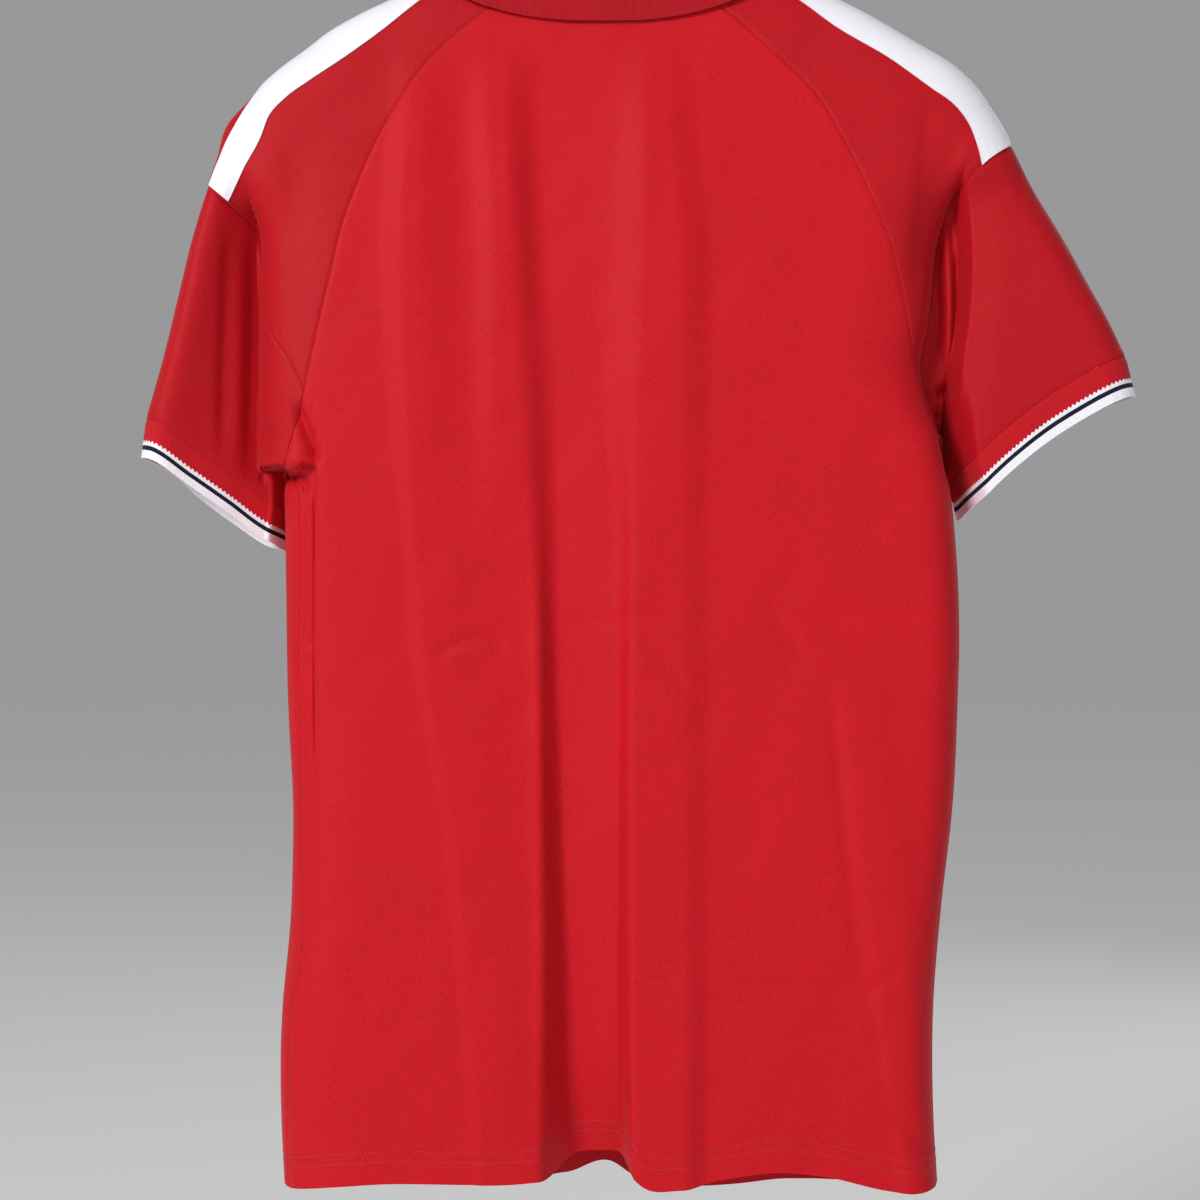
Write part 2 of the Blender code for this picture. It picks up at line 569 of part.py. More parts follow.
def shared_normals(grids, loops):
    """Normals of every piece, made the same for pieces at each point that they share."""
    normals = {name: grid_normals(grid, name in loops) for name, grid in grids.items()}
    points = np.concatenate([grid.reshape(-1, 3) for grid in grids.values()])
    values = np.concatenate([normals[name].reshape(-1, 3) for name in grids])
    _, index = np.unique(np.round(points, 2), axis=0, return_inverse=True)
    index = index.reshape(-1)
    total = np.zeros((index.max() + 1, 3))
    np.add.at(total, index, values)
    mean = total[index]
    mean /= np.maximum(np.linalg.norm(mean, axis=1), 1e-9)[:, None]
    start = 0
    for name, grid in grids.items():
        size = grid.shape[0] * grid.shape[1]
        normals[name] = mean[start:start + size].reshape(grid.shape)
        start += size
    return normals


def drawn_back(grid, closed_loop, edges):
    """Draws the chosen edges of a piece back from their seams by half the seam gap, square to each."""
    moved = grid.copy()
    for axis, end in edges:
        rows = np.moveaxis(grid, axis, 0)
        rows = rows[::-1] if end else rows
        border, next_row = rows[0], rows[1]
        if closed_loop:
            along = np.roll(border, -1, axis=0) - np.roll(border, 1, axis=0)
        else:
            along = np.gradient(border, axis=0)
        along /= np.maximum(np.linalg.norm(along, axis=1), 1e-9)[:, None]
        inward = next_row - border
        inward -= np.sum(inward * along, axis=1)[:, None] * along
        inward /= np.maximum(np.linalg.norm(inward, axis=1), 1e-9)[:, None]
        target = np.moveaxis(moved, axis, 0)
        target[-1 if end else 0] += inward * SEAM_GAP / 2
    return moved


def wall_mesh(name, grid, normals, thickness, closed_loop=False):
    """Closed wall round a grid of points: outer and inner faces, joined along the rims."""
    m, n = grid.shape[:2]
    points = np.concatenate([(grid + normals * thickness / 2).reshape(-1, 3),
                             (grid - normals * thickness / 2).reshape(-1, 3)])
    index = np.arange(m * n).reshape(m, n)
    if closed_loop:
        index = np.vstack([index, index[:1]])
    a, b, c, d = index[:-1, :-1], index[1:, :-1], index[1:, 1:], index[:-1, 1:]
    skin = np.concatenate([np.stack(t, -1).reshape(-1, 3) for t in ((a, b, c), (a, c, d))])
    rims = [index[:, 0], index[:, -1][::-1]]
    if not closed_loop:
        rims += [index[-1], index[0][::-1]]
    faces = [skin, skin[:, ::-1] + m * n]
    for rim in rims:
        p, q = rim[:-1], rim[1:]
        faces += [np.stack([q, p, p + m * n], -1), np.stack([q, p + m * n, q + m * n], -1)]
    return add_object(name, points, np.concatenate(faces))


def add_object(name, points, faces):
    """Mesh object in metres from points given as x, y, drop in millimetres."""
    x, y, drop = points.T
    metres = np.column_stack([x, y, -(drop + HOOK_TO_SHOULDER)]) / 1000
    triangles = np.asarray(faces)
    corners = metres[triangles]
    volume = np.sum(corners[:, 0] * np.cross(corners[:, 1], corners[:, 2]))
    if volume < 0:
        triangles = triangles[:, ::-1]
    mesh = bpy.data.meshes.new(name)
    mesh.from_pydata(metres.tolist(), [], triangles.tolist())
    mesh.shade_smooth()
    mesh.set_sharp_from_angle(angle=math.radians(50))
    piece = bpy.data.objects.new(name, mesh)
    bpy.data.collections[COLLECTION].objects.link(piece)
    return piece


# ---------------------------------------------------------------- hanger

def hanger_arms():
    """Moulded bar: oval sections along the shoulder lines, closed by small round tips."""
    rows = np.linspace(0, 1, RAGLAN_ROWS + 1)[1:]
    under_neck = np.linspace(-84, 84, 9)
    crest = HANGER_TOP + (2.0 - HANGER_TOP) * (np.abs(under_neck) / 92) ** 1.6
    lines = {side: ridge_line(side, rows) for side in SIDES}
    lines = {side: line[np.abs(line[:, 0]) < abs(HANGER_TIP[side])] for side, line in lines.items()}
    line = np.concatenate([lines["left"][::-1], np.column_stack([under_neck, crest]), lines["right"]])
    stations, tops = line.T
    slope = np.gradient(tops, stations)
    clearance = (WALL / 2 + HANGER_CLEARANCE) * np.sqrt(1 + slope**2)
    reach = np.abs(stations) / 215
    half_depth = HANGER_HALF_DEPTH[0] + (HANGER_HALF_DEPTH[1] - HANGER_HALF_DEPTH[0]) * reach
    angle = np.linspace(0, 2 * math.pi, 12, endpoint=False)
    rings = []
    for x, top, deep in zip(stations, tops + clearance, half_depth):
        centre = top + HANGER_HALF_HEIGHT
        rings.append(np.column_stack([np.full(12, x), deep * np.sin(angle),
                                      centre - HANGER_HALF_HEIGHT * np.cos(angle)]))
    for end in (0, -1):
        ring = rings[end]
        centre = ring.mean(axis=0)
        step = math.copysign(5.0, centre[0])
        cap = centre + (ring - centre) * 0.55 + np.array([step, 0.0, 2.0])
        rings.insert(0 if end == 0 else len(rings), cap)
    grid = np.array(rings)
    count = len(grid)
    index = np.arange(count * 12).reshape(count, 12)
    index = np.column_stack([index, index[:, 0]])
    a, b, c, d = index[:-1, :-1], index[1:, :-1], index[1:, 1:], index[:-1, 1:]
    faces = [np.stack(t, -1).reshape(-1, 3) for t in ((a, b, c), (a, c, d))]
    for ring, turn in ((index[0, :-1], 1), (index[-1, :-1], -1)):
        fan = np.array([(ring[0], ring[i], ring[i + 1]) for i in range(1, 11)])
        faces.append(fan[:, ::turn])
    return add_object("hanger_arms", grid.reshape(-1, 3), np.concatenate(faces))


def hanger_hook():
    """Bent wire: a round hook whose inner top is the origin, and its stem down to the bar."""
    centre = HOOK_WIRE / 2 - HOOK_RADIUS
    turn = np.radians(np.linspace(200, -50, 24))
    arc = np.column_stack([HOOK_RADIUS * np.cos(turn), centre + HOOK_RADIUS * np.sin(turn)])
    foot = SEAM_GAP - HOOK_TO_SHOULDER - HANGER_TOP - WALL / 2 - HANGER_CLEARANCE
    heading = np.array([math.sin(turn[-1]), -math.cos(turn[-1])])
    straight = np.array([0.0, centre - HOOK_NECK])
    handles = arc[-1], arc[-1] + HOOK_BEND * heading, straight + [0.0, HOOK_BEND], straight
    s = np.linspace(0, 1, 9)[1:, None]
    weights = (1 - s) ** 3, 3 * (1 - s) ** 2 * s, 3 * (1 - s) * s**2, s**3
    neck = sum(weight * handle for weight, handle in zip(weights, handles))
    points = np.concatenate([arc, neck, [[0.0, foot]]])
    data = bpy.data.curves.new("hanger_hook", "CURVE")
    data.dimensions = "3D"
    data.bevel_depth = HOOK_WIRE / 2000
    data.bevel_resolution = 3
    data.use_fill_caps = True
    wire = data.splines.new("POLY")
    wire.points.add(len(points) - 1)
    for point, (x, z) in zip(wire.points, points):
        point.co = (x / 1000, 0.0, z / 1000, 1.0)
    hook = bpy.data.objects.new("hanger_hook", data)
    bpy.data.collections[COLLECTION].objects.link(hook)
    return hook


# ---------------------------------------------------------------- materials


def material(kind):
    colour, roughness, metallic = FINISHES[kind]
    made = bpy.data.materials.new(kind)
    made.use_nodes = True
    shader = made.node_tree.nodes["Principled BSDF"]
    shader.inputs["Base Color"].default_value = (*colour, 1.0)
    shader.inputs["Roughness"].default_value = roughness
    shader.inputs["Metallic"].default_value = metallic
    made.diffuse_color = (*colour, 1.0)
    return made


# ---------------------------------------------------------------- assembly

def clear_scene():
    for obj in list(bpy.data.objects):
        bpy.data.objects.remove(obj, do_unlink=True)
    parts = bpy.data.collections.new(COLLECTION)
    bpy.context.scene.collection.children.link(parts)


def main():
    clear_scene()
    grids = {
        "back_panel": body_panel(0, HEM_BACK, back_neck),
        "front_panel": body_panel(1, HEM_FRONT, front_neck),
    }
    loops = []
    shoulders = {side: shoulder(side) for side in SIDES}
    for side in SIDES:
        grids["shoulder_" + side] = shoulders[side]
        grids["sleeve_" + side] = sleeve(side, grids["shoulder_" + side])
        grids["cuff_" + side] = cuff(side, grids["sleeve_" + side])
        loops += ["sleeve_" + side, "cuff_" + side]
    # Normals point out of the garment on every piece.
    for name in ("front_panel", "shoulder_left", "sleeve_left", "cuff_left"):
        grids[name] = grids[name][::-1]
    normals = shared_normals(grids, loops)
    # Seamed edges of each piece, as grid axis and end.
    seamed = {"back_panel": [(0, 0), (0, 1)], "front_panel": [(0, 0), (0, 1)]}
    for side in SIDES:
        seamed["shoulder_" + side] = [(0, 0), (0, 1), (1, 1)]
        seamed["sleeve_" + side] = [(1, 0), (1, 1)]
        seamed["cuff_" + side] = [(1, 0)]
    pieces = {}
    for name, grid in grids.items():
        closed_loop = name in loops
        drawn = drawn_back(grid, closed_loop, seamed[name])
        pieces[name] = wall_mesh(name, drawn, normals[name], WALL, closed_loop)
    # Each tape lies on the middle columns of its shoulder piece, moved out.
    band = SHOULDER_COLUMNS[0], sum(SHOULDER_COLUMNS[:3])
    for side in SIDES:
        grid, out = grids["shoulder_" + side], normals["shoulder_" + side]
        count = len(grid) - 1
        first, last = band if side == "right" else (count - band[1], count - band[0])
        lift = WALL / 2 + SEAM_GAP + STRIPE_WALL / 2
        tape = (grid + out * lift)[first:last + 1]
        pieces["stripe_" + side] = wall_mesh("stripe_" + side, drawn_back(tape, False, [(1, 0), (1, 1)]),
                                             out[first:last + 1], STRIPE_WALL)
    collar_grid = collar(shoulders)
    pieces["collar"] = wall_mesh("collar", collar_grid, grid_normals(collar_grid, False), WALL)
    pieces["hanger_arms"] = hanger_arms()
    pieces["hanger_hook"] = hanger_hook()
    made = {kind: material(kind) for kind in FINISHES}
    for name, piece in pieces.items():
        kind = next((kind for start, kind in FINISH_OF.items() if name.startswith(start)), "knit")
        piece.data.materials.append(made[kind])


main()
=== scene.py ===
"""Looks of a football jersey on a plain hanger: knit, tapes, rib, collar, stitching, hanger and studio.

Flat points are (x, drop) and space points are (x, y, drop), in millimetres: +x is the wearer's right,
the wearer's back faces -y, and drop runs down from the neck end of the shoulder line. Only the last
step, to_frame, turns them into the frame's metres.
"""

import math

import bpy
import numpy as np
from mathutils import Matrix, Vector


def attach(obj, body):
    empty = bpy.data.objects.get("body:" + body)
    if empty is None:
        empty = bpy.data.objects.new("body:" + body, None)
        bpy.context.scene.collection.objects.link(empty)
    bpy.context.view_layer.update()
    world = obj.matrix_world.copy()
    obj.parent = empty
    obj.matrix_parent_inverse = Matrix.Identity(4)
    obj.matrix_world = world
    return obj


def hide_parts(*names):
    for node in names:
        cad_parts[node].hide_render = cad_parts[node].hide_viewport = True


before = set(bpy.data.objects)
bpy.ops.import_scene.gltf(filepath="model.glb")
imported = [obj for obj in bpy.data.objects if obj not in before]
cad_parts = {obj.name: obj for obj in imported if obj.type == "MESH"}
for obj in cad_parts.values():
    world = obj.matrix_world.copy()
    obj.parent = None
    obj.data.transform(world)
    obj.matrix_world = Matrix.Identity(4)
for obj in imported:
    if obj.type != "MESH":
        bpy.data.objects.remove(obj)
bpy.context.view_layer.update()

SIDES = ("left", "right")
SIGN = {"left": -1.0, "right": 1.0}

# ---------------------------------------------------------------- sizes, in millimetres

# From the inner top of the hook down to the neck end of the shoulder line, and the cloths' thicknesses.
HOOK_TO_SHOULDER = 115.0
CLOTH = 0.8
TAPE = 0.7
# Gap between two sewn pieces, and the width and depth of the roll of the cloth down into it.
SEAM_GAP = 0.24
SEAM_ROLL = 1.6
SEAM_DIP = 0.55
# Shares of the first step at a seam where lines of points are added, and the lines that the roll moves.
BORDER_SHARES = (0.12, 0.3, 0.55)
BORDER_LINES = 9
# Edges that turn more than this are drawn sharp.
SHARP_ANGLE = math.radians(60)
# Height of the cuffs and how far each leans to +x over it; how far their fronts hang lower, the distances to
# the front between which that comes in, and the power of its arch; then the share of the cuff's width in
# which the sleeve is drawn to its inner fold.
CUFF_HEIGHT = 23.5
CUFF_LEAN = {"left": -3.0, "right": 6.0}
FRONT_CUFF_FALL = {"left": 7.5, "right": 4.5}
CUFF_FRONT = (2, 18)
CUFF_ARCH = 0.8
FOLD_SHARE = 0.13

# Steps along the seams; those of the side seam are closer together at the underarm, by a power.
RAGLAN_ROWS = 92
ARMHOLE_ROWS = 26
SIDE_ROWS = 132
SIDE_ROW_BIAS = 1.25
SEAM_STEPS = 400
NECK_STEPS = (9, 11)
# Rows over which the front's side seams, and the angles that its rows start and end at, are smoothed.
SEAM_SPREAD = 14
TURN_SPREAD = 20
# Columns of a shoulder piece: to the tape's back edge, to the ridge, to its front edge, to the front seam.
SHOULDER_COLUMNS = (72, 14, 14, 36)
SLEEVE_ROWS = 90
CUFF_ROWS = 30
CUFF_COLUMNS = 640
COLLAR_COLUMNS = 180
TAPE_COLUMNS = 36

# Shoulder line and outer fold of each sleeve: drop, x.
RIDGE = {
    "left": [(0, -91), (23, -124), (36, -150), (45, -166), (58, -183), (70, -199), (80, -210), (90, -219),
             (101, -229), (125, -237), (139, -242), (172, -252), (209, -261), (246, -270), (284, -281)],
    "right": [(0, 89), (23, 140), (36, 165), (51, 190), (64, 212), (81, 231), (93, 239), (104, 246),
              (116, 252), (147, 269), (172, 284), (197, 298), (222, 312), (246, 324)],
}
# Drops of the shoulder line's end at the upper-arm seam, and of the cuff seam at the outer fold.
SHOULDER_END = {"left": 139.0, "right": 116.0}
CUFF_OUTER = {"left": 284.0, "right": 246.0}

# Edges of the hanging body at the back and at the front: drop, x. Down to NECK_EDGE the edge is the shoulder
# line itself. Above the left underarm the back's edge is that of the fold that hangs over the sleeve, and
# below the right one both edges are the same. Beside the edge the sleeve starts over EDGE_STEP.
NECK_EDGE = 90
EDGE_STEP = 2
RIGHT_EDGE_BELOW = [(294, 207), (303, 209), (318, 211.6), (333, 214), (364, 217), (420, 219), (457, 218),
                    (519, 215), (581, 208), (643, 203), (705, 203), (760, 206)]
BODY_EDGE = {
    "left": ([(0, -91), (90, -219), (101, -220), (125, -218), (150, -214), (168, -210.5), (212, -210.5),
              (263, -211), (330, -211)],
             [(0, -91), (90, -219), (101, -219), (125, -214), (165, -208), (212, -203), (290, -197),
              (302, -196), (313, -196), (330, -196.5), (350, -195.4), (395, -194), (457, -193),
              (530, -189), (581, -191), (643, -196), (700, -197), (760, -194)]),
    "right": ([(0, 89), (93, 239), (104, 236), (125, 226), (149, 214), (178, 206), (206, 203), (230, 200),
               (250, 196), (265, 198), (280, 202), *RIGHT_EDGE_BELOW],
              [(0, 89), (93, 239), (104, 238), (125, 232), (149, 224), (178, 214), (224, 208), (270, 206),
               *RIGHT_EDGE_BELOW]),
}
# Half depth of the body: drop, back, front.
BODY_DEPTH = [(0, 14, 14), (24, 22, 20), (62, 28, 27), (92, 32, 32), (132, 38, 38), (212, 43, 44),
              (312, 46, 46), (460, 47, 46), (780, 48, 46)]
# Drops between which the round section from shoulder to shoulder parts into body and sleeves.
PARTING = {"left": (128, 172), "right": (118, 160)}
# The sleeves' form counts this far out from the middle, and down to this far below the outer cuff seam.
SLEEVES_BEYOND = 60
SLEEVES_BELOW = 60
# Upper sleeve where it hangs beside the body: drop, inner edge x at the back, at the front, half depth.
ARM = {
    "left": [(80, -214, -214, 0), (101, -208, -205, 12), (125, -206, -200, 22), (165, -205, -196, 31),
             (212, -200, -192, 33), (300, -195, -188, 30), (345, -194, -188, 27)],
    "right": [(88, 234, 234, 0), (104, 230, 226, 9), (125, 224, 217, 18), (149, 217, 208, 24),
              (178, 211, 202, 28), (224, 205, 198, 30), (300, 208, 198, 30), (345, 212, 204, 28)],
}
# Shares of the left sleeve's width between which its back falls off towards the body.
SLEEVE_FALL = (0.1, 0.86)
# Top of the right sleeve's flank, which rises from the valley beside the body: drop, x. Then the valley's
# depth and rounding, the widths of the flank and of the long slope that goes with it, the share of the rise
# that the slope takes, and the share of the slope that lies below the flank's top.
VALLEY_RIGHT = [(128, 221), (143, 224), (171, 226.5), (212, 226), (253, 221), (294, 218), (320, 216.5)]
VALLEY_DEPTH = 4.0
VALLEY_ROUND = 0.15
VALLEY_FLANK = 8.0
VALLEY_SLOPE = 28.0
SLOPE_SHARE = 0.14
SLOPE_LEAD = 0.25
# Lower edge of the fold that hangs over the left underarm: x, drop; and how far the cloth steps back there.
SHELF = [(-215, 313.5), (-202, 313.8), (-194, 313.2), (-191.5, 314.4), (-186, 315.4), (-182, 313.8),
         (-178.5, 312.2), (-171, 313)]
SHELF_STEP = 1.4
# Pressed edge of the back that stands over the strip beside the left side seam: x, step width, and the
# step's height at drops.
STRIP_EDGE = -171.0
STRIP_STEP = 2.2
STRIP_HEIGHT = [(272, 0), (288, 3), (306, 7), (330, 8), (420, 5), (470, 3), (560, 0)]
# Share of the strip's step that is there above the shelf too.
STRIP_ABOVE = 0.45
# Radius of the body's sides, and the radius that the back's right side narrows to between two drops.
SIDE_ROUND = 62.0
BACK_ROUND_RIGHT = 30.0
BACK_ROUND_DROPS = (230, 310)
# Drops over which the back of the left side comes back from the strip's edge to its own.
STRIP_END_DROPS = (330, 550)
# Half depth of the sleeves' fronts, and the width over which their backs round off at the outer fold.
SLEEVE_DEPTH = 28.0
ARM_ROUND = 22.0
# Powers of the rounded sections of body, upper sleeve and lower sleeve: 2 is an ellipse, and more is boxier.
FULLNESS = 3.0
ARM_FULLNESS = 2.2
SLEEVE_FULLNESS = 2.4
# Height over which creases come in where the cloth turns round a side.
CREASE_RISE = 8
SLEEVE_CREASE_RISE = 3
# Share of the side's rounding over which the standing folds come in.
FOLD_RISE = 0.6

# Seam lines as x, drop.
RAGLAN_BACK = {
    "left": [(-59, 24), (-69, 34), (-87, 49), (-111, 74), (-122, 91), (-136, 116), (-147, 142), (-157, 170),
             (-163, 196), (-171, 230), (-179, 268)],
    "right": [(59, 23), (67, 29), (85, 43), (103, 60), (121, 77), (134, 93), (145, 113), (155, 133),
              (162, 149), (173, 175), (182, 210), (190, 249)],
}
RAGLAN_FRONT = {
    "left": [(-62, 42), (-80, 62), (-101, 90), (-122, 122), (-140, 158), (-155, 196), (-165, 230),
             (-172, 262)],
    "right": [(62, 42), (82, 62), (104, 88), (125, 118), (144, 154), (161, 192), (174, 226), (184, 252)],
}
UPPER_ARM_BACK = {
    "left": [(-179, 268), (-190, 248), (-200, 234), (-206, 220), (-208, 205), (-208, 188), (-208, 172),
             (-213, 163), (-221, 156.5), (-227.5, 151)],
    "right": [(190, 249), (193.5, 231.6), (196.8, 208.4), (198.2, 195), (199.6, 184), (202, 173),
              (206.4, 162.4), (213.5, 151.7), (223, 139), (230.5, 131)],
}
UPPER_ARM_FRONT = {
    "left": [(-172, 262), (-196, 228), (-208, 190), (-218, 160), (-232, 146)],
    "right": [(184, 252), (202, 210), (214, 170), (227, 140), (240, 124)],
}
# Back edge and front edge of the shoulder tape: x, drop.
TAPE_BACK = {
    "left": [(-82, 8), (-108, 27), (-136, 50), (-158, 66.5), (-176.5, 79), (-191.5, 90), (-201, 100.5),
             (-206.5, 115), (-227.5, 151)],
    "right": [(80, 8), (117, 27), (144, 47), (175, 66), (201, 85), (213, 93.5), (223, 107), (227.5, 120),
              (230.5, 131)],
}
TAPE_FRONT = {
    "left": [(-86, 5), (-115, 22), (-155, 44), (-188, 67), (-207, 84), (-217, 97), (-224, 116), (-232, 146)],
    "right": [(84, 5), (130, 24), (170, 44), (203, 65), (226, 87), (232, 100), (240, 124)],
}
# Front edge of the tape as sewn: share of its length, and its place round the shoulder from -1 at TAPE_BACK
# through 0 at the shoulder line to 1 at TAPE_FRONT.
TAPE_REACH = {
    "left": [(0, 1.0), (0.3, 0.9), (0.46, 0.65), (0.58, 0.2), (0.69, -0.42), (0.8, -0.64), (0.9, -0.65),
             (1.0, -0.70)],
    "right": [(0, 1.0), (0.3, 0.98), (0.45, 0.65), (0.6, 0.25), (0.72, 0.04), (0.8, -0.04), (0.9, -0.3),
              (1.0, -0.63)],
}
# Armhole below the upper-arm seam: x, drop at the back, and x, drop, y at the front.
ARMHOLE_BACK = {
    "left": [(-179, 268), (-183, 284), (-189, 303), (-191.5, 314)],
    "right": [(190, 249), (195, 268), (199, 284), (204, 294)],
}
ARMHOLE_FRONT = {
    "left": [(-180, 284, 31), (-189.4, 306, 15)],
    "right": [(193, 270, 31), (204, 287, 12)],
}
# Inner fold of each sleeve, from the underarm point to the cuff seam: x, y, drop.
UNDERARM_FOLD = {
    "left": [(-195.4, 4, 319), (-195.6, 10, 323), (-195.2, 15, 328), (-194.4, 19, 334), (-193, 22, 341)],
    "right": [(209.6, 0, 298), (211.4, 7, 304), (213.4, 11, 311), (216, 12, 322)],
}
# Side seams, from underarm to hem: drop, x. Then the hem line at the back and at the front: x, drop.
SIDE_SEAM = {
    "left": [(314, -191.5), (323, -187), (354, -184.3), (420, -184.3), (550, -181.8), (591, -181.1),
             (620, -183), (639, -187.5), (665, -189.5), (752, -190)],
    "right": [(294, 204), (333, 212), (364, 215), (420, 217), (457, 216), (519, 213), (581, 206), (643, 201),
              (705, 201), (750, 204)],
}
HEM = ([(-200, 752), (-167, 747), (-143, 745), (-43, 744), (-33, 743), (-18, 734), (0, 731), (13, 733),
        (21, 743), (47, 748), (72, 743), (106, 739), (137, 742), (171, 750), (186, 752), (210, 750)],
       [(-200, 752), (-150, 760), (-79, 768), (-53, 770), (-23, 760), (6, 752), (24, 765), (62, 771),
        (130, 766), (161, 766), (190, 758), (210, 750)])
# Neck seam: its lowest point in front as x, drop; how far its two halves bow; and its drop at the back.
NECK_FRONT_POINT = (0.0, 105.0)
NECK_FRONT_BOW = 4.0
NECK_BACK_DROP = 32.0

# Standing folds, each a raised (+) or sunk (-) strip between two flanks: rows of drop, left flank x, right
# flank x, height at the left, height at the right, width of the left flank, width of the right one.
BACK_FOLDS = {
    "main recess": [(50, -47, 10, 0, 0, 22, 40), (110, -47, 10, -4, -2, 22, 40),
                    (184, -43, 10, -5, -2, 22, 38), (244, -39, 11, -6, -2.5, 22, 30),
                    (335, -35, 12, -8, -3, 18, 16),
                    (430, -32.6, 13, -11, -4, 15, 9), (520, -30.5, 13, -15, -6, 16, 7),
                    (600, -28.5, 13, -19, -9, 18, 7), (690, -28, 14, -28, -16, 22, 8),
                    (750, -27, 16, -40, -32, 24, 9)],
    "crest": [(50, 18, 50, 0, 0, 22, 20), (110, 18, 50, 3, 3, 22, 20), (184, 15, 57, 4, 4, 24, 20),
              (292, 13, 57, 4, 4, 20, 20), (350, 16, 57, 3.5, 3.5, 12, 18), (455, 16, 57, 3.2, 3.2, 9, 18),
              (635, 16, 57, 4, 4.5, 8, 16), (750, 17, 57, 5, 6, 8, 16)],
    "left pleat": [(55, -122, -98, 0, 0, 16, 26), (110, -124, -98, 3.4, 3.4, 16, 26),
                   (184, -128, -98, 4.2, 4.2, 15, 30), (244, -125, -94, 3.6, 3.2, 13, 34),
                   (347, -117, -80, 3.0, 2.4, 10, 40), (455, -107, -68, 2.4, 2, 8, 44),
                   (515, -95, -60, 2.2, 2, 8, 40), (635, -83, -52, 2, 2, 8, 30),
                   (750, -74, -44, 2, 2, 8, 26)],
    "yoke pleat": [(50, -76, -50, 0, 0, 16, 20), (110, -75, -50, 2.8, 2.8, 16, 20),
                   (184, -71, -46, 3, 3, 16, 20), (292, -72, -42, 2, 2, 18, 20),
                   (420, -74, -38, 0, 0, 20, 20)],
    "right pleat": [(430, 140, 170, 0, 0, 9, 16), (470, 143, 172, 1.6, 1.6, 9, 18),
                    (576, 156, 186, 2, 2, 9, 18), (740, 180, 200, 1.6, 1.6, 9, 16)],
}
FRONT_FOLDS = {
    "centre furrow": [(130, -30, 26, 0, 0, 26, 22), (300, -28, 24, -5, -4, 24, 20),
                      (520, -26, 22, -9, -7, 22, 18), (770, -24, 20, -14, -11, 22, 18)],
    "left drape": [(120, -128, -86, 0, 0, 22, 30), (200, -122, -80, 4, 4, 22, 30),
                   (770, -98, -60, 5, 5, 20, 26)],
    "right drape": [(120, 84, 132, 0, 0, 28, 22), (210, 80, 128, 4, 4, 28, 22),
                    (770, 66, 120, 5, 5, 26, 20)],
}
